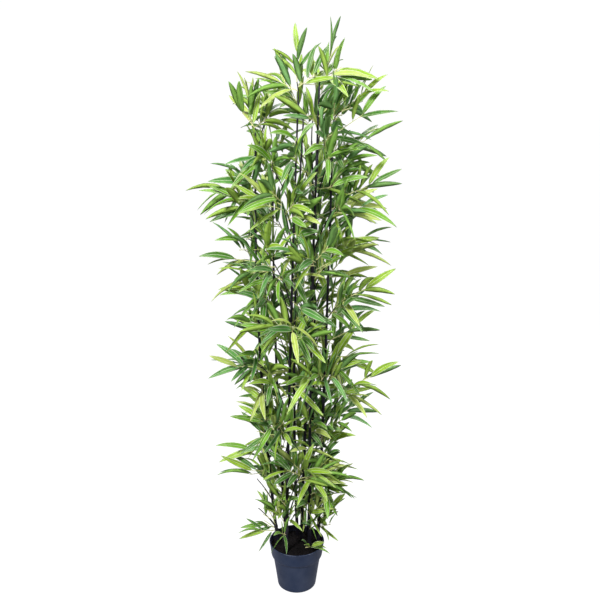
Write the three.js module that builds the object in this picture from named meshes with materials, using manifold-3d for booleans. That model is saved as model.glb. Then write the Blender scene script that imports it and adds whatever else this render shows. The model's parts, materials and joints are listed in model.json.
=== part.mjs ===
// An artificial black bamboo in a nursery pot: eight thin black canes that stand in a dark filling, wire
// shoots that leave them steeply, and sprays of cloth leaves on stiff little twigs. Millimetres, +Z up, the
// origin at the middle of the pot's flat underside. The front of the plant faces -Y.
import * as THREE from "three";
import { mergeVertices } from "three/addons/utils/BufferGeometryUtils.js";
import Module from "manifold-3d";

const wasm = await Module();
wasm.setup();
const { lerp, clamp, degToRad, radToDeg } = THREE.MathUtils;

// Pot and filling
const POT_HEIGHT = 158;
const RIM_RADIUS = 91;
const RIM_EDGE = 3;
const COLLAR_HEIGHT = 48;
const COLLAR_FOOT = POT_HEIGHT - COLLAR_HEIGHT;
const COLLAR_FOOT_RADIUS = 83.5;
const COLLAR_EDGE = 2;
const BODY_TOP_RADIUS = 78.5;
const FOOT_RADIUS = 64;
const FOOT_ROUNDING = 5;
const WALL = 2.2;
const FLOOR = 3;
const FILLING_TOP = 138;
const POT_SIDES = 30;

// Clearances: where pieces touch in the real plant, where one is cut clear of another's flats, and between
// leaves that merely pass each other
const CONTACT_GAP = 0.3;
const CUT_CLEARANCE = 0.38;
const PASSING_GAP = 0.5;

// Canes: where each stands on the filling, where its head is, how it bows in between, and its height. Each
// ends in a spray with a bearing and a lift in degrees, and the height that its leaves reach.
const CANE_FOOT_RADIUS = 5.6;
const CANE_TIP_RADIUS = 2.4;
const CANE_SIDES = 5;
const INTERNODE = 190;
const NODE_SWELL = 1.28;
const NODE_HALF = 5;
const FIRST_NODE_AT = 0.35;
const NODE_STAGGER = 0.08;
const CANES = [
  { side: "left", foot: [-62, 8], head: [-116, -6], bow: [-24, 0], height: 1485, tip: [120, 72, 1670] },
  { side: "front", foot: [-34, -42], head: [6, -26], bow: [-4, 0], height: 1575, tip: [100, 80, 1797] },
  { side: "centre", foot: [2, 58], head: [20, 44], bow: [-18, 0], height: 1500, tip: [150, 62, 1725] },
  { side: "middle", foot: [15, 28], head: [64, 34], bow: [-3, 6], height: 1440, tip: [35, 55, 1640] },
  { side: "tall", foot: [42, -8], head: [66, -14], bow: [-8, 0], height: 1625, tip: [48, 69, 1800] },
  { side: "right", foot: [70, 4], head: [106, 2], bow: [2, 0], height: 1500, tip: [-6, 36, 1645] },
  { side: "back_left", foot: [-36, 44], head: [-72, 96], bow: [-12, 8], height: 1380, tip: [135, 52, 1600] },
  { side: "back_right", foot: [38, 56], head: [46, 118], bow: [14, 10], height: 1450, tip: [62, 50, 1690] },
];

// Leaves: fewer than on the plant, so each is a little larger than life. Angles are in degrees.
const LEAF_LENGTH = 126;
const LEAF_WIDTH = 30;
const LEAF_RIDGE = 3;
const WIDEST_AT = 0.36;
const LEAF_SINK = 0.8;
const LOW_LEAF_ANGLE = 66;
const HIGH_LEAF_ANGLE = 24;
const LEAF_SIZES = [0.84, 1.06];
const LEAF_JITTER = 10;
const LEAF_TILT = 20;
const LEAF_ROLL = 32;
const DROOP_RANGE = [0.02, 0.15];
const LEAF_TRIES = 5;
const LOWEST_LEAF = 124;

// Sprays: a twig, and where its leaves stand along it
const TWIG_RADIUS = 2;
const TWIG_TIP_RADIUS = 1.8;
const TWIG_LENGTH = 66;
const TIP_LEAVES = 7;
const SIDE_TWIG_LENGTH = 44;
const SIDE_LEAVES = 5;
const FIRST_LEAF_AT = 0.26;
const LAST_LEAF_AT = 0.86;
const END_LEAF_AT = 0.97;
const ROLL_RANGE = [30, 88];
const SHORTEST_TWIG = 26;
const LEAST_LEAF_SCALE = 0.8;
const LEAF_REACH = LEAF_LENGTH * 0.95;

// Shoots: wires that rise from a cane, bare up to their first spray. A bough is a strong one's bare stretch.
const SHOOT_RISES = [170, 205, 135];
const SHOOT_TURNS = [0, 7, -7, 14, -14, 24, -24];
const LIFT_RANGE = [-2, 38];
const TIP_LEAN = 22;
const WIRE_RADIUS = 3;
const WIRE_END_RADIUS = 2.7;
const WIRE_STEPS = 2;
const WIRE_SAMPLES = 12;
const WIRE_ROOM = 6;
const WIRE_BEND_RUN = 0.3;
const WIRE_BEND_RISE = 0.62;
const SIDE_STATIONS = [0.56, 0.8];
const SIDE_TURN_RANGE = [45, 95];
const SIDE_LIFT_RANGE = [0, 52];
const LOWEST_ROOT = FILLING_TOP + 14;
const ROOT_BELOW_TIP = 30;
const BOUGH_RADIUS = 2.5;
const BOUGH_SHARE = 0.5;
const BOUGH_SIDES = 5;
const BORDER_SLACK = 36;

// Where the outermost leaf tips are to the left and the right, [height, reach from the axis], and how far the
// crown reaches to the front and the back
const CROWN_TOP = 1800;
const CROWN_LEAN_BACK = 20;
const HEART_REACH = 92;
const LEFT_TIPS = [
  [272, 188], [445, 250], [640, 205], [800, 295], [1000, 215], [1150, 285], [1315, 330], [1430, 210],
];
const RIGHT_TIPS = [
  [300, 168], [415, 200], [560, 205], [665, 275], [800, 328],
  [930, 268], [1065, 308], [1210, 300], [1370, 322], [1490, 292],
];
const LEFT_BOUGHS = [4, 6];
const RIGHT_BOUGHS = [5];
const SIDE_SPREAD = 9;
const DEPTH_TIPS = [[200, 150], [450, 205], [700, 275], [1000, 275], [1300, 285], [1600, 215]];
const FILLERS = 18;
const FILLER_LOWEST = 300;
const FILLER_HIGHEST = 1640;
const FILLER_FAN = 64;
const GOLDEN_STEP = 0.618;
const LOW_SPRAY = { height: 226, reach: 148, bearing: -55, heartReach: 50 };

// Bare wires low on the left that have lost their sprays, [height, length, bearing in degrees]
const BARE_WIRES = [[200, 100, 196], [300, 90, 168]];
const BARE_WIRE_LIFT = 54;

const RIGHT = new THREE.Vector3(1, 0, 0);
const UP = new THREE.Vector3(0, 0, 1);

// The same stream of numbers for the same seed, so that a shoot always grows the same way
function randomFrom(seed) {
  const RANGE = 2 ** 32;
  let state = (seed * 2654435761) % RANGE;
  const next = () => {
    state = (state * 1664525 + 1013904223) % RANGE;
    return state / RANGE;
  };
  next();
  next();
  return (low, high) => low + (high - low) * next();
}

// A value read from a list of [height, value], straight between its rows
function profileAt(rows, height) {
  const above = rows.findIndex((row) => row[0] > height);
  if (above === 0) return rows[0][1];
  if (above < 0) return rows[rows.length - 1][1];
  const [low, high] = [rows[above - 1], rows[above]];
  return lerp(low[1], high[1], (height - low[0]) / (high[0] - low[0]));
}

// The level direction at a bearing: 0 is to the right, 90 to the back
function radial(bearing) {
  return new THREE.Vector3(Math.cos(degToRad(bearing)), Math.sin(degToRad(bearing)), 0);
}

function heading(bearing, lift) {
  const rise = degToRad(lift);
  return radial(bearing).multiplyScalar(Math.cos(rise)).addScaledVector(UP, Math.sin(rise));
}

// A closed mesh as a solid
function solidOf(geometry) {
  const bare = geometry.index ? geometry.toNonIndexed() : geometry.clone();
  bare.deleteAttribute("normal");
  bare.deleteAttribute("uv");
  const merged = mergeVertices(bare, 1e-4);
  return new wasm.Manifold(
    new wasm.Mesh({
      numProp: 3,
      vertProperties: new Float32Array(merged.attributes.position.array),
      triVerts: new Uint32Array(merged.index.array),
    }),
  );
}

// A solid as the geometry of a mesh
function geometryOf(solid) {
  const { numProp, numVert, vertProperties, triVerts } = solid.getMesh();
  const positions = new Float32Array(numVert * 3);
  for (let i = 0; i < numVert; i++) {
    positions.set(vertProperties.subarray(i * numProp, i * numProp + 3), i * 3);
  }
  return new THREE.BufferGeometry()
    .setAttribute("position", new THREE.BufferAttribute(positions, 3))
    .setIndex(new THREE.BufferAttribute(new Uint32Array(triVerts), 1));
}

function meshOf(name, geometry, material) {
  const mesh = new THREE.Mesh(geometry, material);
  mesh.name = name;
  return mesh;
}

function largestPiece(solid) {
  return solid.decompose().reduce((best, piece) => (piece.volume() > best.volume() ? piece : best));
}

// A limb: a cylinder whose rings are moved onto stations, each of which has a point and a radius. One of its
// edges runs along the side that the ridge direction names. Its rings are square to it, or share one axis.
function limb(stations, sides, ridge, axis = null) {
  const last = stations.length - 1;
  const frames = stations.map(({ point }, i) => {
    const before = stations[Math.max(0, i - 1)].point;
    const after = stations[Math.min(last, i + 1)].point;
    const tangent = axis ?? after.clone().sub(before).normalize();
    const across = ridge.clone().addScaledVector(tangent, -ridge.dot(tangent)).normalize();
    return { point, across, depth: tangent.clone().cross(across) };
  });
  const geometry = new THREE.CylinderGeometry(1, 1, 1, sides, last);
  const position = geometry.attributes.position;
  for (let v = 0; v < position.count; v++) {
    const i = Math.round((position.getY(v) + 0.5) * last);
    const frame = frames[i];
    const moved = frame.point
      .clone()
      .addScaledVector(frame.across, position.getZ(v) * stations[i].radius)
      .addScaledVector(frame.depth, position.getX(v) * stations[i].radius);
    position.setXYZ(v, moved.x, moved.y, moved.z);
  }
  return geometry;
}

// Where a cane is at a height
function canePoint(cane, height) {
  const t = (height - FILLING_TOP) / (cane.height - FILLING_TOP);
  const bulge = 4 * t * (1 - t);
  return new THREE.Vector3(
    lerp(cane.foot[0], cane.head[0], t) + cane.bow[0] * bulge,
    lerp(cane.foot[1], cane.head[1], t) + cane.bow[1] * bulge,
    height,
  );
}

function caneRadius(cane, height) {
  const t = clamp((height - FILLING_TOP) / (cane.height - FILLING_TOP), 0, 1);
  return lerp(CANE_FOOT_RADIUS, CANE_TIP_RADIUS, t);
}

// A cane: a tapering rod with a raised ring at each node, cut flat where it meets the filling.
// With some clearance it is the room that a wire has to leave it.
function caneSolid(cane, clearance = 0) {
  const rings = [{ height: FILLING_TOP + CONTACT_GAP - clearance, swell: 1 }];
  const firstNode = FILLING_TOP + INTERNODE * (FIRST_NODE_AT + NODE_STAGGER * CANES.indexOf(cane));
  for (let node = firstNode; node < cane.height - 3 * NODE_HALF; node += INTERNODE) {
    rings.push({ height: node - NODE_HALF, swell: 1 });
    rings.push({ height: node, swell: NODE_SWELL });
    rings.push({ height: node + NODE_HALF, swell: 1 });
  }
  rings.push({ height: cane.height + clearance, swell: 1 });
  const stations = rings.map(({ height, swell }) => ({
    point: canePoint(cane, height),
    radius: caneRadius(cane, height) * swell + clearance,
  }));
  return solidOf(limb(stations, CANE_SIDES, RIGHT, UP));
}

// The axis that the crown stands round
function crownAxis(height) {
  return new THREE.Vector3(0, CROWN_LEAN_BACK * (height / CROWN_TOP), height);
}

// The canes that are tall enough at a height, the nearest to a point first
function canesNear(point, height) {
  const away = (cane) => Math.hypot(canePoint(cane, height).x - point.x, canePoint(cane, height).y - point.y);
  return CANES.filter((cane) => cane.height > height + ROOT_BELOW_TIP).sort((a, b) => away(a) - away(b));
}

// A wire from a cane to the heart of its outer spray, steep at first and then leaning out
function wireCurve(cane, rootHeight, heart) {
  const centre = canePoint(cane, rootHeight);
  const outward = heart.clone().sub(centre).setZ(0).normalize();
  const root = centre.clone().addScaledVector(outward, caneRadius(cane, rootHeight) * 0.4);
  const run = heart.clone().sub(root);
  const bend = root.clone().addScaledVector(run.clone().setZ(0), WIRE_BEND_RUN);
  bend.z += run.z * WIRE_BEND_RISE;
  return new THREE.QuadraticBezierCurve3(root, bend, heart);
}

// Points along a wire and on along the twig of its end spray
function samplesOf(curve, bearing, { lift, twigLength }) {
  const heart = curve.getPoint(1);
  const onTwig = [0.25, 0.5, 0.75, 1].map((share) =>
    heart.clone().addScaledVector(heading(bearing, lift), twigLength * share),
  );
  return [...curve.getPoints(WIRE_SAMPLES), ...onTwig];
}

// True if a wire keeps clear of the pot's rim, of every cane past its own root, and of the wires there are
function isWireClear(samples, cane, others) {
  const ROOT_SAMPLES = 3;
  return samples.every((point, i) => {
    const isLow = point.z < POT_HEIGHT + 2 * WIRE_ROOM;
    if (isLow && Math.hypot(point.x, point.y) > COLLAR_FOOT_RADIUS - WIRE_ROOM) return false;
    const canesClear = CANES.every((other) => {
      if (other.height + WIRE_ROOM < point.z || (other === cane && i < ROOT_SAMPLES)) return true;
      return canePoint(other, point.z).distanceTo(point) > caneRadius(other, point.z) + WIRE_ROOM;
    });
    const isApart = (other) => other.samples.every((there) => there.distanceTo(point) > 2 * WIRE_ROOM);
    return canesClear && others.every(isApart);
  });
}

// The lift, twig and leaves of an end spray that has only so much room from its wire to its furthest tip:
// where there is little, it is smaller, and then steeper
function sizeFor(room, lift) {
  const least = SHORTEST_TWIG + LEAF_REACH * LEAST_LEAF_SCALE;
  const steepest = room < least ? radToDeg(Math.acos(room / least)) : 0;
  const raised = Math.max(lift, steepest);
  const length = room / Math.cos(degToRad(raised));
  const leafScale = clamp(length / (TWIG_LENGTH + LEAF_REACH), LEAST_LEAF_SCALE, 1);
  const twigLength = clamp(length - LEAF_REACH * leafScale, SHORTEST_TWIG, TWIG_LENGTH);
  return { lift: raised, leafScale, twigLength, span: twigLength + LEAF_REACH * leafScale };
}

// Adds a shoot whose outermost leaf tip has a height and a reach. It tries small turns about the axis, other
// rises and other canes until its wire is clear, and is left out if none is.
function addShoot(shoots, name, { height, bearing, reach, heartReach = HEART_REACH }, hasBough = false) {
  const size = sizeFor(reach - heartReach, randomFrom(shoots.length + 1)(...LIFT_RANGE));
  const { lift } = size;
  for (const turn of SHOOT_TURNS) {
    const heart = crownAxis(height)
      .addScaledVector(radial(bearing + turn), reach)
      .addScaledVector(heading(bearing + turn, lift), -size.span);
    for (const rise of SHOOT_RISES) {
      const rootHeight = Math.max(heart.z - rise, LOWEST_ROOT);
      for (const cane of canesNear(heart, rootHeight).slice(0, 2)) {
        const curve = wireCurve(cane, rootHeight, heart);
        const samples = samplesOf(curve, bearing + turn, size);
        if (!isWireClear(samples, cane, shoots)) continue;
        const sides = SIDE_STATIONS;
        const seed = shoots.length + 1;
        shoots.push({ name, cane, curve, samples, sides, bearing: bearing + turn, size, hasBough, seed });
        return;
      }
    }
  }
}

// The wire that carries on from a cane's tip, to a spray whose leaves reach the height that the cane states
function addTip(shoots, cane) {
  const [bearing, lift, reach] = cane.tip;
  const root = canePoint(cane, cane.height);
  const heart = root.clone().addScaledVector(radial(bearing), TIP_LEAN);
  const size = sizeFor(TWIG_LENGTH + LEAF_REACH, lift);
  heart.z = reach - size.span * Math.sin(degToRad(lift));
  const bend = root.clone().setZ(lerp(root.z, heart.z, 0.6));
  const curve = new THREE.QuadraticBezierCurve3(root, bend, heart);
  const samples = samplesOf(curve, bearing, size);
  const sides = SIDE_STATIONS.slice(1);
  const seed = shoots.length + 1;
  shoots.push({ name: `foliage_top_${cane.side}`, cane, curve, samples, sides, bearing, size, seed });
}

// All the shoots: the canes' tips, those that draw the outline, a low one, and those that fill front and back
function layOutShoots() {
  const shoots = [];
  CANES.forEach((cane) => addTip(shoots, cane));
  LEFT_TIPS.forEach(([height, reach], i) => {
    const bearing = 180 + (i % 2 ? SIDE_SPREAD : -SIDE_SPREAD);
    addShoot(shoots, `foliage_left_${i + 1}`, { height, reach, bearing }, LEFT_BOUGHS.includes(i));
  });
  RIGHT_TIPS.forEach(([height, reach], i) => {
    const bearing = i % 2 ? SIDE_SPREAD : -SIDE_SPREAD;
    addShoot(shoots, `foliage_right_${i + 1}`, { height, reach, bearing }, RIGHT_BOUGHS.includes(i));
  });
  addShoot(shoots, "foliage_low", LOW_SPRAY);
  for (let i = 0; i < FILLERS; i++) {
    const height = lerp(FILLER_LOWEST, FILLER_HIGHEST, (i + 0.5) / FILLERS);
    const pair = Math.floor(i / 2);
    const isFront = i % 2 === 0;
    const fan = (((pair * GOLDEN_STEP) % 1) * 2 - 1) * FILLER_FAN;
    const bearing = (isFront ? -90 : 90) + fan;
    const name = `foliage_${isFront ? "front" : "back"}_${pair + 1}`;
    addShoot(shoots, name, { height, bearing, reach: profileAt(DEPTH_TIPS, height) });
  }
  return shoots;
}

// A spray: a stiff twig with leaves in two ranks and one at its end
function sprayAt(shoot, number, start, bearing, lift, twigLength, leafCount) {
  const seed = shoot.seed * 100 + number;
  const random = randomFrom(seed);
  const along = heading(bearing, lift);
  const roll = degToRad(random(...ROLL_RANGE) * (random(0, 1) < 0.5 ? -1 : 1));
  const across = new THREE.Vector3().crossVectors(UP, along).normalize().applyAxisAngle(along, roll);
  const flat = new THREE.Vector3().crossVectors(along, across).normalize();
  return { start, along, across, flat, twigLength, leafCount, leafScale: shoot.size.leafScale, seed };
}

// The sprays of a shoot: one at its end, and one to each side further down the wire
function spraysOf(shoot) {
  const random = randomFrom(shoot.seed * 7);
  const firstSide = random(0, 1) < 0.5 ? -1 : 1;
  const { lift, twigLength } = shoot.size;
  const end = sprayAt(shoot, 0, shoot.curve.getPoint(1), shoot.bearing, lift, twigLength, TIP_LEAVES);
  const sides = shoot.sides.map((station, i) => {
    const bearing = shoot.bearing + (i % 2 ? -firstSide : firstSide) * random(...SIDE_TURN_RANGE);
    const start = shoot.curve.getPoint(station);
    return sprayAt(shoot, i + 1, start, bearing, random(...SIDE_LIFT_RANGE), SIDE_TWIG_LENGTH, SIDE_LEAVES);
  });
  return [end, ...sides];
}

// One leaf of a spray: where it is rooted, the way it points, its broad side and its size. Each attempt is a
// new draw.
function leafAt(spray, i, attempt) {
  const random = randomFrom(spray.seed * 31 + i * 7 + attempt * 1009);
  const isLast = i === spray.leafCount - 1;
  const station = isLast ? END_LEAF_AT : lerp(FIRST_LEAF_AT, LAST_LEAF_AT, i / (spray.leafCount - 2));
  const side = i % 2 ? -1 : 1;
  const jitter = random(-LEAF_JITTER, LEAF_JITTER);
  const spread = isLast ? jitter : side * (lerp(LOW_LEAF_ANGLE, HIGH_LEAF_ANGLE, station) + jitter);
  const tilt = degToRad(random(-LEAF_TILT, LEAF_TILT)) * (isLast ? 0.4 : 1);
  const direction = spray.along
    .clone()
    .applyAxisAngle(spray.flat, degToRad(spread))
    .addScaledVector(spray.flat, Math.tan(tilt))
    .normalize();
  const across = new THREE.Vector3().crossVectors(spray.flat, direction).normalize();
  const onTwig = spray.start.clone().addScaledVector(spray.along, spray.twigLength * station);
  return {
    root: isLast ? onTwig : onTwig.addScaledVector(spray.flat, TWIG_TIP_RADIUS / 4),
    direction,
    across: across.applyAxisAngle(direction, degToRad(random(-LEAF_ROLL, LEAF_ROLL))),
    length: LEAF_LENGTH * spray.leafScale * random(...LEAF_SIZES),
    droop: random(...DROOP_RANGE),
  };
}

// A leaf: a sphere of three sides and two bands, drawn out to a blade with a ridge along its middle. Its pole
// at the root is sunk in the twig, and its tip hangs.
function leafSolid(leaf) {
  const geometry = new THREE.SphereGeometry(1, 3, 2);
  const position = geometry.attributes.position;
  const face = new THREE.Vector3().crossVectors(leaf.across, leaf.direction).normalize();
  const width = LEAF_WIDTH * (leaf.length / LEAF_LENGTH);
  for (let v = 0; v < position.count; v++) {
    const pole = Math.round(position.getY(v));
    const share = pole ? (pole + 1) / 2 : WIDEST_AT;
    const isRidge = !pole && position.getX(v) < -0.9;
    const side = pole || isRidge ? 0 : Math.sign(position.getZ(v));
    const moved = leaf.root
      .clone()
      .addScaledVector(leaf.direction, leaf.length * share - LEAF_SINK)
      .addScaledVector(leaf.across, (side * width) / 2)
      .addScaledVector(face, isRidge ? LEAF_RIDGE : 0);
    moved.z -= leaf.length * leaf.droop * share ** 2;
    position.setXYZ(v, moved.x, moved.y, moved.z);
  }
  return solidOf(geometry);
}

function twigSolid(spray) {
  const end = spray.start.clone().addScaledVector(spray.along, spray.twigLength);
  const stations = [
    { point: spray.start, radius: TWIG_RADIUS },
    { point: end, radius: TWIG_TIP_RADIUS },
  ];
  return solidOf(limb(stations, 3, spray.flat));
}

// Points along a stretch of a shoot's wire, between two shares of its length
function wireStations(shoot, from, to, radii) {
  const stations = [];
  for (let i = 0; i <= WIRE_STEPS; i++) {
    const point = shoot.curve.getPointAt(lerp(from, to, i / WIRE_STEPS));
    stations.push({ point, radius: lerp(radii[0], radii[1], i / WIRE_STEPS) });
  }
  return stations;
}

function cutClear(geometry, cane) {
  return largestPiece(solidOf(geometry).subtract(caneSolid(cane, CUT_CLEARANCE)));
}

// A bough is the first stretch of a strong shoot's wire
function boughSolid(shoot) {
  const stations = wireStations(shoot, 0, BOUGH_SHARE, [BOUGH_RADIUS * 1.1, BOUGH_RADIUS]);
  return cutClear(limb(stations, BOUGH_SIDES, UP.clone().cross(radial(shoot.bearing))), shoot.cane);
}

// The stem of a mass: its wire, from the cane or just past the bough's tip, and on as the end spray's twig
function stemSolid(shoot, endSpray) {
  const from = shoot.hasBough ? BOUGH_SHARE + CUT_CLEARANCE / shoot.curve.getLength() : 0;
  const stations = wireStations(shoot, from, 1, [WIRE_RADIUS, WIRE_END_RADIUS]);
  const end = endSpray.start.clone().addScaledVector(endSpray.along, endSpray.twigLength);
  stations.push({ point: end, radius: TWIG_TIP_RADIUS });
  return cutClear(limb(stations, 3, endSpray.flat), shoot.cane);
}

// A bare wire that once carried a spray: one tapering limb, cut clear of its cane
function bareWireSolid([height, length, bearing]) {
  const foot = canePoint(CANES[0], height);
  const end = foot.clone().addScaledVector(heading(bearing, BARE_WIRE_LIFT), length);
  const stations = [
    { point: foot, radius: BOUGH_RADIUS },
    { point: end, radius: BOUGH_RADIUS * 0.7 },
  ];
  return cutClear(limb(stations, BOUGH_SIDES, RIGHT), CANES[0]);
}

function boxesMeet(a, b, room) {
  return [0, 1, 2].every((k) => a.min[k] - room < b.max[k] && b.min[k] - room < a.max[k]);
}

// What stands in the crown so far. A new twig or leaf has to keep clear of it.
class Crown {
  placed = [];
  claims = [];

  add(solid, owner, kind) {
    this.placed.push({ solid, owner, kind, box: solid.boundingBox() });
  }

  claim(point, owner) {
    this.claims.push({ point, owner });
  }

  // True if a solid keeps its gap to everything of another owner, and to the leaves of its own
  isClear(solid, owner, isLeaf) {
    const box = solid.boundingBox();
    return this.placed.every((there) => {
      if (there.owner === owner && !(isLeaf && there.kind === "leaf")) return true;
      if (!boxesMeet(box, there.box, PASSING_GAP)) return true;
      return solid.minGap(there.solid, PASSING_GAP * 2) >= PASSING_GAP;
    });
  }

  // True if a point is nearer to its own shoot than to any other, give or take the slack at the border
  isOwn(point, owner) {
    let own = Infinity;
    let other = Infinity;
    for (const claim of this.claims) {
      const away = claim.point.distanceTo(point);
      if (claim.owner === owner) own = Math.min(own, away);
      else other = Math.min(other, away);
    }
    return own < other + BORDER_SLACK;
  }
}

// Finds a place for a leaf that is clear and in its shoot's own space. Nothing comes back if there is none.
function fitLeaf(crown, shoot, spray, i) {
  for (let attempt = 0; attempt < LEAF_TRIES; attempt++) {
    const leaf = leafAt(spray, i, attempt);
    const tip = leaf.root.clone().addScaledVector(leaf.direction, leaf.length * 0.8);
    if (tip.z < LOWEST_LEAF || !crown.isOwn(tip, shoot)) continue;
    const solid = leafSolid(leaf);
    if (crown.isClear(solid, shoot, true)) return solid;
  }
  return null;
}

// Grows every shoot's mass of leaves: first all the stems, then the twigs, then the leaves, where clear
function growMasses(shoots, obstacles) {
  const crown = new Crown();
  obstacles.forEach((solid) => crown.add(solid, "frame", "limb"));
  const masses = shoots.map((shoot) => {
    const [endSpray, ...sideSprays] = spraysOf(shoot);
    const stem = stemSolid(shoot, endSpray);
    crown.add(stem, shoot, "limb");
    shoot.samples.filter((_, i) => i % 3 === 0).forEach((point) => crown.claim(point, shoot));
    crown.claim(endSpray.start.clone().addScaledVector(endSpray.along, endSpray.twigLength), shoot);
    return { shoot, parts: [stem], sprays: [endSpray], sideSprays };
  });
  for (const mass of masses) {
    for (const spray of mass.sideSprays) {
      const twig = twigSolid(spray);
      if (!crown.isClear(twig, mass.shoot, false)) continue;
      crown.add(twig, mass.shoot, "limb");
      crown.claim(spray.start.clone().addScaledVector(spray.along, spray.twigLength), mass.shoot);
      mass.parts.push(twig);
      mass.sprays.push(spray);
    }
  }
  for (const mass of masses) {
    for (const spray of mass.sprays) {
      for (let i = 0; i < spray.leafCount; i++) {
        const leaf = fitLeaf(crown, mass.shoot, spray, i);
        if (!leaf) continue;
        crown.add(leaf, mass.shoot, "leaf");
        mass.parts.push(leaf);
      }
    }
  }
  return masses;
}

function lathe(profile) {
  const points = profile.map(([radius, height]) => new THREE.Vector2(radius, height));
  return new THREE.LatheGeometry(points, POT_SIDES).rotateX(Math.PI / 2);
}

function potGeometry() {
  return lathe([
    [0, 0],
    [FOOT_RADIUS - FOOT_ROUNDING, 0],
    [FOOT_RADIUS - FOOT_ROUNDING * 0.3, FOOT_ROUNDING * 0.35],
    [FOOT_RADIUS, FOOT_ROUNDING],
    [BODY_TOP_RADIUS, COLLAR_FOOT - COLLAR_EDGE],
    [COLLAR_FOOT_RADIUS, COLLAR_FOOT],
    [COLLAR_FOOT_RADIUS + COLLAR_EDGE / 4, COLLAR_FOOT + COLLAR_EDGE],
    [RIM_RADIUS, POT_HEIGHT - RIM_EDGE],
    [RIM_RADIUS - RIM_EDGE / 2, POT_HEIGHT],
    [RIM_RADIUS - WALL, POT_HEIGHT],
    [COLLAR_FOOT_RADIUS - WALL, COLLAR_FOOT],
    [BODY_TOP_RADIUS - WALL, COLLAR_FOOT - COLLAR_EDGE],
    [FOOT_RADIUS - WALL, FLOOR],
    [0, FLOOR],
  ]);
}

// The filling stands a small gap inside the pot's wall and floor
function fillingGeometry() {
  const inset = WALL + CUT_CLEARANCE;
  const topShare = (FILLING_TOP - COLLAR_FOOT) / COLLAR_HEIGHT;
  return lathe([
    [0, FLOOR + CUT_CLEARANCE],
    [FOOT_RADIUS - inset, FLOOR + CUT_CLEARANCE],
    [BODY_TOP_RADIUS - inset, COLLAR_FOOT - COLLAR_EDGE],
    [COLLAR_FOOT_RADIUS - inset, COLLAR_FOOT],
    [lerp(COLLAR_FOOT_RADIUS, RIM_RADIUS, topShare) - inset, FILLING_TOP],
    [0, FILLING_TOP],
  ]);
}

const potPlastic = new THREE.MeshStandardMaterial({ color: 0x2c3140, roughness: 0.55, metalness: 0 });
const fillingMix = new THREE.MeshStandardMaterial({ color: 0x17130f, roughness: 0.95, metalness: 0 });
const canePlastic = new THREE.MeshStandardMaterial({ color: 0x15151b, roughness: 0.45, metalness: 0 });
const leafCloth = new THREE.MeshStandardMaterial({ color: 0x6f9a3a, roughness: 0.7, metalness: 0 });

const bamboo = new THREE.Group();
bamboo.name = "potted_bamboo";
bamboo.add(meshOf("pot", potGeometry(), potPlastic));
bamboo.add(meshOf("filling", fillingGeometry(), fillingMix));

const limbs = [];
function addLimb(name, solid) {
  limbs.push(solid);
  bamboo.add(meshOf(name, geometryOf(solid), canePlastic));
}

const shoots = layOutShoots();
CANES.forEach((cane) => addLimb(`cane_${cane.side}`, caneSolid(cane)));
BARE_WIRES.forEach((wire, i) => addLimb(`bough_bare_${i + 1}`, bareWireSolid(wire)));
for (const shoot of shoots.filter(({ hasBough }) => hasBough)) {
  addLimb(shoot.name.replace("foliage", "bough"), boughSolid(shoot));
}

const obstacles = [solidOf(potGeometry()), solidOf(fillingGeometry()), ...limbs];
for (const { shoot, parts } of growMasses(shoots, obstacles)) {
  bamboo.add(meshOf(shoot.name, geometryOf(largestPiece(wasm.Manifold.union(parts))), leafCloth));
}

export default bamboo;
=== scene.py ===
"""An artificial black bamboo in a nursery pot, dressed over its solid frame.

Eight thin black canes stand in a dark filling. Coated wires leave them steeply and carry sprays of cloth
leaves on pale moulded twigs. Metres, +Z up, the origin at the middle of the pot's flat underside. The front
of the plant faces -Y.
"""

import json
import math
from dataclasses import dataclass, field
from functools import lru_cache

import bmesh
import bpy
import numpy as np
from mathutils import Matrix, Quaternion, Vector, noise
from mathutils.bvhtree import BVHTree

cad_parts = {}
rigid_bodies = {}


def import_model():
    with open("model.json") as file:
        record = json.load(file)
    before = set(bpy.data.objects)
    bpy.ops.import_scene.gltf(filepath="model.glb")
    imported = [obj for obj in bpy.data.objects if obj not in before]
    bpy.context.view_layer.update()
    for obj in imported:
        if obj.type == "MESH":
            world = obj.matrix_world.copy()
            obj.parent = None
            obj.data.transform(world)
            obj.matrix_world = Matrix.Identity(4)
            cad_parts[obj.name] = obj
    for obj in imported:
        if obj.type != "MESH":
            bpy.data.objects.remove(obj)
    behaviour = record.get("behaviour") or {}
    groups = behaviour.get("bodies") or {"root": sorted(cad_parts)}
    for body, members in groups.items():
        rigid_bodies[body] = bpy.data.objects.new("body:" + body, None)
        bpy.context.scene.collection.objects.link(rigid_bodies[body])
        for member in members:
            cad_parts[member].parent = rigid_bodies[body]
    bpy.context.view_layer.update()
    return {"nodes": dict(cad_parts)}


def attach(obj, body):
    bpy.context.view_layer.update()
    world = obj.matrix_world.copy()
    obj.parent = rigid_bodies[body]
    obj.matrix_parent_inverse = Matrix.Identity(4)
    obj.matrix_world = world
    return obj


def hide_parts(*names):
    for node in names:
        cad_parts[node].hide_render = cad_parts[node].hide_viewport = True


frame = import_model()

bl_info = {
    "name": "Potted black bamboo",
    "version": (1, 0, 0),
    "blender": (4, 5, 0),
    "location": "3D View > Sidebar > Bamboo",
    "description": "Dresses the solid frame of an artificial black bamboo in a nursery pot",
    "category": "Object",
}

BODY = "root"
UP = Vector((0, 0, 1))

# Pot and filling
POT_HEIGHT = 0.158
COLLAR_FOOT = 0.110
COLLAR_FOOT_RADIUS = 0.0835
BODY_TOP_RADIUS = 0.0785
FOOT_RADIUS = 0.064
FILLING_TOP = 0.138
POT_SEGMENTS = 144
# Painted shade: how far the inside of the collar is darkened towards the filling's colour, and the lip at the
# top that is left clear
WALL_PAINTED_SHADE = 0.85
UNSHADED_LIP = 0.002
LIP_POINTS = 9
POT_FLOOR = 0.004
FILLING_BOTTOM = 0.006
FILLING_BOTTOM_RADIUS = 0.058
FILLING_RINGS = 30
FILLING_SEGMENTS = 120
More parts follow.
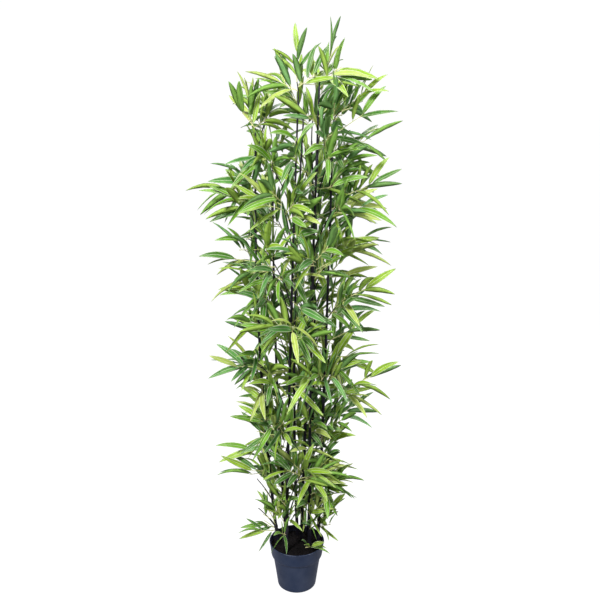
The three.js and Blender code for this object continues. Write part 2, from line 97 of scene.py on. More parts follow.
# The filling's top: how high it heaps, the radius where the heap ends, and its relief by height, width and
# level in the noise
HEAP = 0.0025
HEAP_RADIUS = 0.086
FILLING_RELIEF = ((0.0028, 0.028, 0), (0.0016, 0.009, 0.3), (0.0008, 0.004, 0.6))
LUMPS = 420
LUMP_FORMS = 4
LUMP_SEED = 91
LUMP_FORM_SEED = 70
LUMP_EDGE_ROOM = 0.006
LUMP_RISE = 0.12
# Ranges of the lumps: the root of a lump's width as a share of the largest, its length and height as shares
# of its width, how far it strays in radians, and how far its points move in or out
LUMP_WIDTHS = (0.38, 1.0)
LUMP_LENGTHS = (0.7, 1.5)
LUMP_HEIGHTS = (0.5, 0.9)
LUMP_STRAY = 0.25
LUMP_DENTS = (0.65, 1.2)


@dataclass(frozen=True)
class Cane:
    """Where a cane stands, where its head is, how it bows in between, its height, and its end spray."""

    side: str
    foot: tuple
    head: tuple
    bow: tuple
    height: float
    tip: tuple  # bearing and lift in degrees, and the height that the leaves reach


CANES = (
    Cane("left", (-0.062, 0.008), (-0.116, -0.006), (-0.024, 0.0), 1.485, (120, 72, 1.670)),
    Cane("front", (-0.034, -0.042), (0.006, -0.026), (-0.004, 0.0), 1.575, (100, 80, 1.797)),
    Cane("centre", (0.002, 0.058), (0.020, 0.044), (-0.018, 0.0), 1.500, (150, 62, 1.725)),
    Cane("middle", (0.015, 0.028), (0.064, 0.034), (-0.003, 0.006), 1.440, (35, 55, 1.640)),
    Cane("tall", (0.042, -0.008), (0.066, -0.014), (-0.008, 0.0), 1.625, (48, 69, 1.800)),
    Cane("right", (0.070, 0.004), (0.106, 0.002), (0.002, 0.0), 1.500, (-6, 36, 1.645)),
    Cane("back_left", (-0.036, 0.044), (-0.072, 0.096), (-0.012, 0.008), 1.380, (135, 52, 1.600)),
    Cane("back_right", (0.038, 0.056), (0.046, 0.118), (0.014, 0.010), 1.450, (62, 50, 1.690)),
)
FIRST_NODE_AT = 0.35
NODE_STAGGER = 0.08
CANE_FOOT = FILLING_TOP - 0.008
CANE_SIDES = 20
RING_SPACING = 0.022
NODE_BELOW_TIP = 0.015
NODE_ROOM = 0.02
RING_FADE = 0.018
CANE_GRAIN = 0.022
# The grain is read from noise: each ring on a circle of this radius, a unit further up for every length up
# the cane, and a step further up from cane to cane
GRAIN_RADIUS = 1.6
GRAIN_LENGTH = 0.03
GRAIN_STEP = 7
CANE_STATIONS = 12

# A node in profile: how far above its middle, and the swell there as a share of the node's full swell
NODE_PROFILE = (
    (-0.012, 0.0), (-0.006, 0.08), (-0.0030, 0.62), (-0.0014, 1.0),
    (0.0, 0.45), (0.0018, 0.9), (0.0045, 0.7), (0.009, 0.2), (0.014, 0.0),
)
# The groove above a node: its depth as a share of the radius, its length and start, and its spread in radians
FLUTE_DEPTH = 0.09
FLUTE_LENGTH = 0.09
FLUTE_START = 0.003
FLUTE_SPREAD = 0.55

# The frame's leaves are fewer and larger than life. They set where each spray's tips reach.
FRAME_LEAF_LENGTH = 0.126
REACH_SHARE = 0.95
LEAF_REACH = FRAME_LEAF_LENGTH * REACH_SHARE
LOW_LEAF_ANGLE = 66
HIGH_LEAF_ANGLE = 24
LEAF_SIZES = (0.86, 1.14)
LEAF_WIDTHS = (0.74, 1.02)
LEAF_JITTER = 12
LEAF_TILT = 30
LAST_TILT_SHARE = 0.4
LEAF_ROLL = 58
LEAF_RISE = 0.30
DROOP_RANGE = (0.06, 0.34)
LEAF_TRIES = 8
LOWEST_LEAF = 0.124
PETIOLE = 0.006
LEAF_CLEARANCE = 0.0005
STALK_RADII = (0.0009, 0.0006)
STALK_END_AT = 0.04
# Where a leaf is tested for room: shares of its length, with the half-width there as a share of its width.
# Then the shares of its length that are tested for its own space and for openings.
LEAF_OUTLINE = ((0.06, 0.42), (0.36, 0.5), (0.7, 0.36), (1.0, 0.02))
OWN_SPACE_TEST = 0.8
OPENING_TESTS = (0.3, 0.5, 0.7, 0.85, 1.0)

# Sprays
TWIG_RADII = (0.0014, 0.0009)
TWIG_STEPS = 5
TWIG_SIDES = 6
TWIG_LENGTH = 0.066
SHORTEST_TWIG = 0.026
SIDE_TWIG_LENGTH = 0.060
FIRST_LEAF_AT = 0.2
LAST_LEAF_AT = 0.88
END_LEAF_AT = 0.98
ROLL_RANGE = (30, 88)
LEAST_LEAF_SCALE = 0.8
TWIG_BOW = 0.09
TWIG_SAG = 0.6
TWIG_SAMPLES = (0.25, 0.5, 0.75, 1)
TWIG_TESTS = (0.3, 0.5, 0.75, 1.0)
TWIG_ROOM = 0.003

# Shoots
SHOOT_RISES = (0.170, 0.205, 0.135)
SHOOT_TURNS = (0, 7, -7, 14, -14, 24, -24)
CANES_TRIED = 2
LIFT_RANGE = (-2, 38)
TIP_LEAN = 0.022
WIRE_RADII = (0.0020, 0.0014)
WIRE_STEPS = 14
WIRE_SIDES = 8
WIRE_SAMPLES = 12
WIRE_ROOM = 0.006
WIRE_ROOT_AT = 0.4
ROOT_SAMPLES = 3
TIP_BEND_AT = 0.6
WIRE_BEND_RUN = 0.3
WIRE_BEND_RISE = 0.62
SIDE_STATIONS = (0.64, 0.84)
FINE_STATIONS = (0.75, 0.93)
FINE_TIP_STATIONS = (0.32, 0.58)
SPARSE_BELOW = 0.35
SPARSE_STATIONS = (0.7,)
SIDE_TURN_RANGE = (45, 95)
SIDE_LIFT_RANGE = (0, 52)
LOWEST_ROOT = FILLING_TOP + 0.014
ROOT_BELOW_TIP = 0.030
BORDER_SLACK = 0.036
CLAIM_STEP = 3

# The crown: its outermost leaf tips to the left and the right, as height and reach from the axis, and how far
# it reaches to the front and the back
CROWN_TOP = 1.8
CROWN_LEAN_BACK = 0.020
HEART_REACH = 0.092
LEFT_TIPS = (
    (0.272, 0.188), (0.445, 0.250), (0.640, 0.205), (0.800, 0.295),
    (1.000, 0.215), (1.150, 0.285), (1.315, 0.330), (1.430, 0.210),
)
RIGHT_TIPS = (
    (0.300, 0.168), (0.415, 0.200), (0.560, 0.205), (0.665, 0.275), (0.800, 0.328),
    (0.930, 0.268), (1.065, 0.308), (1.210, 0.300), (1.370, 0.322), (1.490, 0.292),
)
SIDE_SPREAD = 9
DEPTH_TIPS = ((0.200, 0.150), (0.450, 0.205), (0.700, 0.275), (1.000, 0.275), (1.300, 0.285), (1.600, 0.215))
FILLERS = 18
FILLER_LOWEST = 0.300
FILLER_HIGHEST = 1.640
FILLER_FAN = 64
GOLDEN_STEP = 0.618
LOW_SPRAY = {"height": 0.226, "reach": 0.148, "bearing": -55, "heart_reach": 0.050}
BARE_WIRES = ((0.200, 0.100, 196), (0.300, 0.090, 168))
BARE_WIRE_LIFT = 54
BARE_WIRE_SAG = 0.05
BARE_WIRE_STEPS = 6
LOW_LEAF_SCALE = 0.72
BARE_WIRE_ROOM = 0.011
# The way towards the viewer of the photo, per metre of depth, and the depths where leaves keep out of it
SIGHT_LINE = Vector((0.04, -1, 0.61))
BARE_WIRE_DEPTHS = tuple(0.018 * step for step in range(-7, 9))

# Short sprays on the canes themselves, inside the crown: how far apart up a cane, and how they turn
INNER_LOWEST = 0.196
INNER_STEP = 0.068
INNER_BELOW_TIP = 0.07
INNER_TURN_RANGE = (-100, 100)
INNER_LIFT_RANGE = (-30, 66)
INNER_FOOT_BELOW = 0.36
INNER_FOOT_LIFT_RANGE = (30, 78)
INNER_FOOT_STEP = 0.034
INNER_FOOT_SCALE = 0.84
INNER_TWIG_LENGTH = 0.046
INNER_LEAVES = 5
INNER_LEAF_SCALE = 1.02
INNER_SEED = 9000
INNER_ROOT_AT = 0.6
# Those near the foot that lie over the rim: cane, height, bearing, lift
FOOT_SPRAYS = (
    (0, 0.190, 190, 2), (0, 0.232, 262, 62), (1, 0.205, 248, 38), (1, 0.248, 296, 56),
    (2, 0.212, 272, 48), (3, 0.226, 258, 60), (4, 0.204, 284, 52), (4, 0.262, 268, 40),
    (5, 0.216, 250, 64),
)
# Those that fill its foot, and reach out at its sides and top: cane, height, bearing, lift, twig length
FAR_SPRAYS = (
    (0, 0.30, 290, 45, 0.03), (1, 0.29, 262, 30, 0.03), (2, 0.29, 268, 40, 0.04), (3, 0.26, 285, 35, 0.04),
    (4, 0.30, 250, 30, 0.03), (5, 0.29, 262, 45, 0.03), (6, 0.25, 275, 55, 0.04), (7, 0.25, 265, 55, 0.04),
    (5, 0.36, 0, 22, 0.03), (5, 0.37, -12, 16, 0.05), (5, 0.77, -4, 4, 0.05), (5, 0.80, 8, -4, 0.07),
    (5, 0.94, 4, 6, 0.04), (5, 1.24, -14, 18, 0.09), (5, 1.44, -8, 8, 0.09), (5, 1.47, -8, 34, 0.10),
    (4, 1.60, -20, 44, 0.07), (1, 1.56, 40, 85, 0.13), (2, 1.48, 20, 84, 0.15), (4, 1.50, 215, 30, 0.04),
    (0, 0.40, 184, 2, 0.06), (0, 0.48, 176, 2, 0.05), (0, 0.77, 180, 4, 0.04), (0, 1.10, 178, 8, 0.06),
    (0, 1.29, 183, 2, 0.06),
)
# Where the photo shows sky among the leaves, on the plane y = 0 as seen from its viewpoint: x, z and radius
OPENINGS = (
    (-0.03, 1.74, 0.019), (0.18, 1.68, 0.034), (0.15, 1.69, 0.026), (-0.10, 1.66, 0.022),
    (-0.07, 1.66, 0.018), (-0.01, 1.59, 0.016), (0.08, 1.60, 0.013), (0.24, 1.55, 0.020),
    (-0.21, 1.53, 0.034), (0.15, 1.52, 0.018), (-0.18, 1.51, 0.023), (0.18, 1.49, 0.023),
    (-0.16, 1.47, 0.016), (-0.20, 1.43, 0.040), (-0.23, 1.36, 0.018), (-0.28, 1.37, 0.029),
    (0.19, 1.20, 0.030), (-0.17, 1.20, 0.021), (-0.19, 1.14, 0.027), (-0.07, 1.09, 0.021),
    (0.15, 1.09, 0.024), (-0.21, 1.05, 0.020), (-0.19, 0.97, 0.030), (-0.15, 0.98, 0.018),
    (-0.15, 0.85, 0.031), (0.19, 0.74, 0.025), (-0.23, 0.71, 0.025), (-0.17, 0.54, 0.042),
    (0.18, 0.51, 0.029), (0.18, 0.48, 0.023), (-0.16, 0.41, 0.019), (-0.18, 0.37, 0.033),
    (-0.15, 0.33, 0.020), (0.17, 0.28, 0.033), (-0.15, 0.26, 0.030), (0.14, 0.21, 0.030),
)
# Where the camera stands, and from where the openings are looked at
VIEWPOINT = Vector((0.0107, -2.058, 1.502))

# A leaf in plan: stations along it, and across it the margins, the two halves of the blade and the midrib
LEAF_STATIONS = (0.0, 0.03, 0.10, 0.21, 0.36, 0.52, 0.68, 0.82, 0.93)
LEAF_BASE_CURVE = 0.56
LEAF_TIP_CURVE = 0.80
LEAST_HALF_WIDTH = 0.03
MARGIN = 0.10
MIDRIB = 0.03
MIDRIB_SHARE = 0.4
BLADE, EDGE, BACK = 0, 1, 2

# How many radians of ripple a margin has, how far a leaf arches, and the share of its length where it isn't
# twisted
RIPPLES = 17
ARCH = 0.6
UNTWISTED_AT = 0.4
# The ways that a leaf bends, as shares of its width: fold along the midrib, arch, sideways sweep, twist in
# radians, and ripple of the margin
LEAF_FORMS = (
    (0.52, 0.30, 0.12, 0.30, 0.030),
    (0.38, -0.20, -0.16, -0.45, 0.040),
    (0.62, 0.55, 0.05, 0.15, 0.020),
    (0.44, 0.10, 0.26, 0.60, 0.050),
    (0.56, 0.90, -0.10, -0.20, 0.025),
    (0.34, 0.50, -0.28, 0.35, 0.045),
)

# How many sprays in a hundred take each leaf tint, and how many of a spray's leaves keep to its own
TINT_SHARES = {"fresh": 32, "mid": 26, "deep": 20, "yellow": 10, "blue": 12}
OWN_TINT_SHARE = 0.6
# How far margins are bleached and undersides greyed
EDGE_BLEACH = 0.50
BACK_GREY = 0.13
# The roughness of blades, of margins and midribs, and of undersides
LEAF_ROUGHNESS = (0.32, 0.5, 0.6)


def linear(colour):
    """An sRGB hex colour as linear red, green, blue and alpha."""
    channels = [int(colour[i:i + 2], 16) / 255 for i in (1, 3, 5)]
    return tuple(c / 12.92 if c <= 0.04045 else ((c + 0.055) / 1.055) ** 2.4 for c in channels) + (1.0,)


def mixed(a, b, share):
    """A linear colour part of the way from one to another."""
    return tuple(x + (y - x) * share for x, y in zip(a, b))


def length_property(name, description, default):
    return bpy.props.FloatProperty(
        name=name, description=description, default=default, min=0, precision=4,
        subtype="DISTANCE", unit="LENGTH",
    )


def colour_property(name, description, default):
    return bpy.props.FloatVectorProperty(
        name=name, description=description, default=linear(default), size=4, min=0, max=1, subtype="COLOR"
    )


class PotSizes(bpy.types.PropertyGroup):
    """Sizes of the pot and its filling"""

    rim_radius: length_property("Rim radius", "Outer radius of the pot at its rim", 0.091)
    wall: length_property("Wall", "Thickness of the pot's wall", 0.0022)
    rim_roll: length_property("Rim roll", "Radius of the rounded lip along the rim", 0.0015)
    lump_size: length_property("Lump size", "Width of the largest lumps in the filling", 0.0085)


class CaneSizes(bpy.types.PropertyGroup):
    """Sizes of the canes"""

    foot_radius: length_property("Foot radius", "Radius of a cane where it leaves the filling", 0.0056)
    tip_radius: length_property("Tip radius", "Radius of a cane at its cut end", 0.0024)
    internode: length_property("Internode", "Height from one node of a cane to the next", 0.190)
    node_swell: bpy.props.FloatProperty(
        name="Node swell", description="How far a node stands out, as a share of the radius", default=0.28
    )


class LeafSizes(bpy.types.PropertyGroup):
    """Sizes and numbers of the leaves"""

    length: length_property("Length", "Length of a full-sized leaf", 0.116)
    width: length_property("Width", "Width of a full-sized leaf", 0.0208)
    thickness: length_property("Thickness", "Thickness of the cloth at the midrib", 0.0006)
    end_leaves: bpy.props.IntProperty(name="End leaves", description="Leaves on an end spray", default=6)
    side_leaves: bpy.props.IntProperty(name="Side leaves", description="Leaves on a side spray", default=6)


class Finishes(bpy.types.PropertyGroup):
    """Colours of the materials"""

    pot: colour_property("Pot", "Moulded plastic of the pot", "#172744")
    filling: colour_property("Filling", "Dark cement mix that fills the pot", "#0b0a0e")
    cane: colour_property("Cane", "Lacquered canes", "#0c0c13")
    wire: colour_property("Wire", "Coating of the wires", "#101013")
    twig: colour_property("Twig", "Moulded twigs and leaf stalks", "#c0be72")
    pale: colour_property("Leaf margin", "What the margins and midribs are bleached towards", "#eef2d8")
    grey: colour_property("Leaf back", "What the undersides are greyed towards", "#b4c79c")
    fresh: colour_property("Fresh leaf", "Blades of the commonest sprays", "#85ac1c")
    mid: colour_property("Mid leaf", "Blades of mid green sprays", "#619b10")
    deep: colour_property("Deep leaf", "Blades of dark sprays", "#317210")
    yellow: colour_property("Yellow leaf", "Blades of yellow-green sprays", "#a1b64e")
    blue: colour_property("Blue leaf", "Blades of blue-green sprays", "#448738")


SETTINGS = {
    "bamboo_pot": PotSizes,
    "bamboo_canes": CaneSizes,
    "bamboo_leaves": LeafSizes,
    "bamboo_finishes": Finishes,
}


def settings(name):
    return getattr(bpy.context.scene, name)


# The rule that the frame's canes, shoots and sprays grow by


RANDOM_STATES = 2**32
RANDOM_SCRAMBLE = 2654435761
RANDOM_FACTOR = 1664525
RANDOM_STEP = 1013904223
# How the seeds of a shoot's draws, of its sprays and of their leaves' draws are made
SHOOT_SEED_STEP = 7
SPRAY_SEED_STEP = 100
LEAF_SEED_STEPS = (31, 7, 1009)


def random_from(seed):
    """The same stream of numbers for the same seed, so that a shoot always grows the same way."""
    state = (seed * RANDOM_SCRAMBLE) % RANDOM_STATES

    def draw(low=0.0, high=1.0):
        nonlocal state
        state = (state * RANDOM_FACTOR + RANDOM_STEP) % RANDOM_STATES
        return low + (high - low) * state / RANDOM_STATES

    draw()
    draw()
    return draw


def mix(a, b, share):
    return a + (b - a) * share


def profile_at(rows, height):
    """A value read from rows of height and value, straight between them."""
    return float(np.interp(height, [row[0] for row in rows], [row[1] for row in rows]))


def radial(bearing):
    """The level direction at a bearing: 0 is to the right, 90 to the back."""
    return Vector((math.cos(math.radians(bearing)), math.sin(math.radians(bearing)), 0))


def heading(bearing, lift):
    return radial(bearing) * math.cos(math.radians(lift)) + UP * math.sin(math.radians(lift))


def turned(vector, axis, angle):
    return Quaternion(axis, math.radians(angle)) @ vector


def cane_point(cane, height):
    t = (height - FILLING_TOP) / (cane.height - FILLING_TOP)
    bulge = 4 * t * (1 - t)
    return Vector((
        mix(cane.foot[0], cane.head[0], t) + cane.bow[0] * bulge,
        mix(cane.foot[1], cane.head[1], t) + cane.bow[1] * bulge,
        height,
    ))


def cane_radius(cane, height):
    sizes = settings("bamboo_canes")
    t = min(max((height - FILLING_TOP) / (cane.height - FILLING_TOP), 0), 1)
    return mix(sizes.foot_radius, sizes.tip_radius, t)


def crown_axis(height):
    return Vector((0, CROWN_LEAN_BACK * height / CROWN_TOP, height))


def canes_near(point, height):
    """The canes that are tall enough at a height, the nearest to a point first."""
    tall = [cane for cane in CANES if cane.height > height + ROOT_BELOW_TIP]
    return sorted(tall, key=lambda cane: (cane_point(cane, height) - point).xy.length)


@dataclass
class Curve:
    """A wire's path: a quadratic curve from its root, by its bend, to the heart of its end spray."""

    root: Vector
    bend: Vector
    heart: Vector

    def at(self, t):
        return self.root * (1 - t) ** 2 + self.bend * (2 * t * (1 - t)) + self.heart * t**2


@dataclass
class EndSize:
    """The lift of an end spray, the scale of its leaves, its twig's length, and its whole span."""

    lift: float
    leaf_scale: float
    twig_length: float
    span: float


@dataclass
class Shoot:
    """A wire that leaves a cane, with a spray at its end and more at stations along it."""

    name: str
    cane: Cane
    curve: Curve
    samples: list
    stations: tuple
    bearing: float
    size: EndSize
    seed: int


@dataclass
class Spray:
    """A stiff twig with leaves in two ranks and one at its end."""

    start: Vector
    along: Vector
    flat: Vector
    bow: Vector
    twig_length: float
    leaf_count: int
    leaf_scale: float
    seed: int
    tint: str

    def at(self, share):
        return self.start + self.along * (self.twig_length * share) + self.bow * share**2


@dataclass
class Leaf:
    """A leaf: its stalk's foot on the twig, where it points, its broad side, its size and its hang."""

    foot: Vector
    direction: Vector
    across: Vector
    length: float
    width: float
    hang: float
    form: int
    tint: str

    def at(self, share, side=0.0):
        point = self.foot + self.direction * (PETIOLE + (self.length - PETIOLE) * share)
        return point + self.across * (self.width * side) - UP * (self.hang * share**2)


@dataclass
class Plant:
    """All that grows on the canes."""

    shoots: list = field(default_factory=list)
    sprays: list = field(default_factory=list)
    leaves: list = field(default_factory=list)


def wire_curve(cane, root_height, heart):
    centre = cane_point(cane, root_height)
    outward = heart - centre
    outward.z = 0
    root = centre + outward.normalized() * (cane_radius(cane, root_height) * WIRE_ROOT_AT)
    run = heart - root
    bend = root + Vector((run.x * WIRE_BEND_RUN, run.y * WIRE_BEND_RUN, run.z * WIRE_BEND_RISE))
    return Curve(root, bend, heart)


def samples_of(curve, bearing, size):
    """Points along a wire and on along the twig of its end spray."""
    on_wire = [curve.at(i / WIRE_SAMPLES) for i in range(WIRE_SAMPLES + 1)]
    along = heading(bearing, size.lift)
    return on_wire + [curve.heart + along * (size.twig_length * share) for share in TWIG_SAMPLES]


def meets_cane(point, cane, room):
    """True if a point is in a cane, or nearer to it than its room."""
    return (cane_point(cane, point.z) - point).length <= cane_radius(cane, point.z) + room


def is_wire_clear(samples, cane, others):
    """True if a wire keeps clear of the pot's rim, of the canes past its root, and of the wires there are."""
    for i, point in enumerate(samples):
        if point.z < POT_HEIGHT + 2 * WIRE_ROOM and point.xy.length > COLLAR_FOOT_RADIUS - WIRE_ROOM:
            return False
        for other in CANES:
            if other.height + WIRE_ROOM < point.z or (other is cane and i < ROOT_SAMPLES):
                continue
            if meets_cane(point, other, WIRE_ROOM):
                return False
        if any((there - point).length <= 2 * WIRE_ROOM for other in others for there in other.samples):
            return False
    return True


def size_for(room, lift):
    """The end spray that fits the room to its furthest tip: in little room it is smaller and steeper."""
    least = SHORTEST_TWIG + LEAF_REACH * LEAST_LEAF_SCALE
    steepest = math.degrees(math.acos(room / least)) if room < least else 0
    raised = max(lift, steepest)
    length = room / math.cos(math.radians(raised))
    leaf_scale = min(max(length / (TWIG_LENGTH + LEAF_REACH), LEAST_LEAF_SCALE), 1)
    twig_length = min(max(length - LEAF_REACH * leaf_scale, SHORTEST_TWIG), TWIG_LENGTH)
    return EndSize(raised, leaf_scale, twig_length, twig_length + LEAF_REACH * leaf_scale)


def add_shoot(shoots, name, height, bearing, reach, heart_reach=HEART_REACH):
    """Adds a shoot whose outermost leaf tip has a height and a reach.

    It tries small turns about the axis, other rises and other canes until its wire is clear, and is left out
    if none is.
    """
    seed = len(shoots) + 1
    size = size_for(reach - heart_reach, random_from(seed)(*LIFT_RANGE))
    for turn in SHOOT_TURNS:
        facing = bearing + turn
        heart = crown_axis(height) + radial(facing) * reach - heading(facing, size.lift) * size.span
        for rise in SHOOT_RISES:
            root_height = max(heart.z - rise, LOWEST_ROOT)
            for cane in canes_near(heart, root_height)[:CANES_TRIED]:
                curve = wire_curve(cane, root_height, heart)
                samples = samples_of(curve, facing, size)
                if is_wire_clear(samples, cane, shoots):
                    stations = SPARSE_STATIONS if height < SPARSE_BELOW else SIDE_STATIONS + FINE_STATIONS
                    shoots.append(Shoot(name, cane, curve, samples, stations, facing, size, seed))
                    return


def add_tip(shoots, cane):
    """The wire that carries on from a cane's tip, to a spray whose leaves reach the cane's stated height."""
    bearing, lift, top = cane.tip
    root = cane_point(cane, cane.height)
    heart = root + radial(bearing) * TIP_LEAN
    size = size_for(TWIG_LENGTH + LEAF_REACH, lift)
    heart.z = top - size.span * math.sin(math.radians(lift))
    curve = Curve(root, Vector((root.x, root.y, mix(root.z, heart.z, TIP_BEND_AT))), heart)
    stations = SIDE_STATIONS[1:] + FINE_TIP_STATIONS
    samples = samples_of(curve, bearing, size)
    name = f"foliage_top_{cane.side}"
    shoots.append(Shoot(name, cane, curve, samples, stations, bearing, size, len(shoots) + 1))


def lay_out_shoots():
    """All the shoots: the canes' tips, those that draw the outline, a low one, and the front and back."""
    shoots = []
    for cane in CANES:
        add_tip(shoots, cane)
    for side, facing, tips in (("left", 180, LEFT_TIPS), ("right", 0, RIGHT_TIPS)):
        for i, (height, reach) in enumerate(tips):
            fan = SIDE_SPREAD if (i % 2 == 1) else -SIDE_SPREAD
            add_shoot(shoots, f"foliage_{side}_{i + 1}", height, facing + fan, reach)
    add_shoot(shoots, "foliage_low", **LOW_SPRAY)
    for i in range(FILLERS):
        height = mix(FILLER_LOWEST, FILLER_HIGHEST, (i + 0.5) / FILLERS)
        pair, is_back = divmod(i, 2)
        fan = ((pair * GOLDEN_STEP) % 1 * 2 - 1) * FILLER_FAN
        name = f"foliage_{'back' if is_back else 'front'}_{pair + 1}"
        add_shoot(shoots, name, height, (90 if is_back else -90) + fan, profile_at(DEPTH_TIPS, height))
    return shoots


def tint_for(share):
    """The tint whose part of the whole a share between 0 and 1 falls in."""
    reached = 0
    for tint, part in TINT_SHARES.items():
        reached += part / sum(TINT_SHARES.values())
        if share < reached:
            return tint
    return tint


def spray_at(seed, leaf_scale, start, bearing, lift, twig_length, leaf_count):
    draw = random_from(seed)
    along = heading(bearing, lift)
    roll = draw(*ROLL_RANGE) * (-1 if draw() < 0.5 else 1)
    across = turned(UP.cross(along).normalized(), along, roll)
    flat = along.cross(across).normalized()
    bow = (across * draw(-1, 1) - UP * draw(0, TWIG_SAG)) * (TWIG_BOW * twig_length)
    tint = tint_for(draw())
    return Spray(start, along, flat, bow, twig_length, leaf_count, leaf_scale, seed, tint)


def sprays_of(shoot):
    """The sprays of a shoot: one at its end, and one to each side at every station along the wire."""
    sizes = settings("bamboo_leaves")
    draw = random_from(shoot.seed * SHOOT_SEED_STEP)
    first_side = -1 if draw() < 0.5 else 1
    size = shoot.size
    scale = size.leaf_scale if shoot.stations == SPARSE_STATIONS else 1
    if shoot.name == "foliage_low":
        scale = LOW_LEAF_SCALE
    seed = shoot.seed * SPRAY_SEED_STEP
    usual = sizes.length * sum(LEAF_SIZES) / 2
    spare = (FRAME_LEAF_LENGTH * size.leaf_scale - usual * scale) * REACH_SHARE
    heart = shoot.curve.heart
    end = spray_at(seed, scale, heart, shoot.bearing, size.lift, size.twig_length + spare, sizes.end_leaves)
    sides = []
    for i, station in enumerate(shoot.stations):
        bearing = shoot.bearing + (-first_side if i % 2 else first_side) * draw(*SIDE_TURN_RANGE)
        lift = draw(*SIDE_LIFT_RANGE)
        start = shoot.curve.at(station)
        sides.append(spray_at(seed + i + 1, scale, start, bearing, lift, SIDE_TWIG_LENGTH, sizes.side_leaves))
    return end, sides


def add_inner(sprays, cane, height, bearing, lift, twig_length, scale):
    """Adds a short spray that stands on a cane, with a seed of its own."""
    start = cane_point(cane, height) + radial(bearing) * (cane_radius(cane, height) * INNER_ROOT_AT)
    seed = INNER_SEED + len(sprays)
    sprays.append(spray_at(seed, scale, start, bearing, lift, twig_length, INNER_LEAVES))


def inner_sprays():
    """The short sprays on the canes: those over the rim, those inside the crown, and those that reach out."""
    sprays = []
    for index, height, bearing, lift in FOOT_SPRAYS:
        add_inner(sprays, CANES[index], height, bearing, lift, INNER_TWIG_LENGTH, LOW_LEAF_SCALE)
    for index, cane in enumerate(CANES):
        height = INNER_LOWEST + INNER_STEP * ((index * GOLDEN_STEP) % 1)
        while height < cane.height - INNER_BELOW_TIP:
            draw = random_from(INNER_SEED + len(sprays))
            away = cane_point(cane, height) - crown_axis(height)
            bearing = math.degrees(math.atan2(away.y, away.x)) + draw(*INNER_TURN_RANGE)
            if height < INNER_FOOT_BELOW:
                scale, lift, step = INNER_FOOT_SCALE, draw(*INNER_FOOT_LIFT_RANGE), INNER_FOOT_STEP
            else:
                scale, lift, step = INNER_LEAF_SCALE, draw(*INNER_LIFT_RANGE), INNER_STEP
            add_inner(sprays, cane, height, bearing, lift, INNER_TWIG_LENGTH, scale)
            height += step
    for index, height, bearing, lift, twig_length in FAR_SPRAYS:
        add_inner(sprays, CANES[index], height, bearing, lift, twig_length, 1)
    return sprays


def leaf_at(spray, i, attempt):
    """One leaf of a spray. Each attempt is a new draw."""
    sizes = settings("bamboo_leaves")
    spray_step, leaf_step, attempt_step = LEAF_SEED_STEPS
    draw = random_from(spray.seed * spray_step + i * leaf_step + attempt * attempt_step)
    is_last = i == spray.leaf_count - 1
    station = END_LEAF_AT if is_last else mix(FIRST_LEAF_AT, LAST_LEAF_AT, i / (spray.leaf_count - 2))
    jitter = draw(-LEAF_JITTER, LEAF_JITTER)
    side = -1 if i % 2 else 1
    spread = jitter if is_last else side * (mix(LOW_LEAF_ANGLE, HIGH_LEAF_ANGLE, station) + jitter)
    tilt = math.radians(draw(-LEAF_TILT, LEAF_TILT)) * (LAST_TILT_SHARE if is_last else 1)
    aim = turned(spray.along, spray.flat, spread) + spray.flat * math.tan(tilt) + UP * LEAF_RISE
    direction = aim.normalized()
    across = turned(spray.flat.cross(direction).normalized(), direction, draw(-LEAF_ROLL, LEAF_ROLL))
    scale = spray.leaf_scale * draw(*LEAF_SIZES)
    length = sizes.length * scale
    hang = length * draw(*DROOP_RANGE)
    form = int(draw(0, len(LEAF_FORMS)))
    width = sizes.width * scale * draw(*LEAF_WIDTHS)
    tint = spray.tint if draw() < OWN_TINT_SHARE else tint_for(draw())
    if across.cross(direction).z < 0:
        across = -across
    return Leaf(spray.at(station), direction, across, length, width, hang, form, tint)


def band(low, high, count):
    """The faces between two rings of as many corners, from the number of each ring's first corner."""
    return [(low + k, low + (k + 1) % count, high + (k + 1) % count, high + k) for k in range(count)]


class Obstacle:
    """A leaf, twig or limb that others keep clear of, with a ball round it that is tested first."""

    def __init__(self, points, faces, owner=None):
        self.tree = BVHTree.FromPolygons(points, faces, epsilon=LEAF_CLEARANCE)
        self.centre = sum(points, Vector()) / len(points)
        self.radius = max((point - self.centre).length for point in points)
        self.owner = owner

    @classmethod
    def of_leaf(cls, leaf):
        points = [leaf.at(share, side * half) for share, half in LEAF_OUTLINE for side in (-1, 1)]
        return cls(points, [(i, i + 1, i + 3, i + 2) for i in range(0, len(points) - 2, 2)])

    @classmethod
    def of_rod(cls, stations, owner=None):
        """A rod as a three-sided tube."""
        points = []
        for i, (point, radius) in enumerate(stations):
            along = stations[min(i + 1, len(stations) - 1)][0] - stations[max(i - 1, 0)][0]
            across = along.orthogonal().normalized()
            points += [point + turned(across, along.normalized(), turn) * radius for turn in (0, 120, 240)]
        faces = [face for i in range(0, len(points) - 3, 3) for face in band(i, i + 3, 3)]
        return cls(points, faces, owner)


class Crown:
    """What stands in the crown so far. A new leaf has to keep clear of it."""

    def __init__(self):
        self.placed = []
        self.centres = np.empty((0, 3))
        self.radii = np.empty(0)
        self.claims = []
        self.claim_owners = []

    def add(self, obstacle):
        self.placed.append(obstacle)
        self.centres = np.vstack([self.centres, obstacle.centre])
        self.radii = np.append(self.radii, obstacle.radius)

    def claim(self, point, owner):
        self.claims.append(point[:])
        self.claim_owners.append(owner)

    def is_clear(self, obstacle, owner):
        """True if an obstacle meets nothing there is, apart from what its owner owns."""
        away = np.linalg.norm(self.centres - np.array(obstacle.centre), axis=1)
        for i in np.flatnonzero(away < self.radii + obstacle.radius):
            there = self.placed[i]
            if there.owner != owner and there.tree.overlap(obstacle.tree):
                return False
        return True

    def is_own(self, point, owner):
        """True if a point is nearer to its own shoot than to any other, but for the slack at the border."""
        away = np.linalg.norm(np.array(self.claims) - np.array(point), axis=1)
        own = np.array(self.claim_owners) == owner
        return away[own].min() < away[~own].min() + BORDER_SLACK


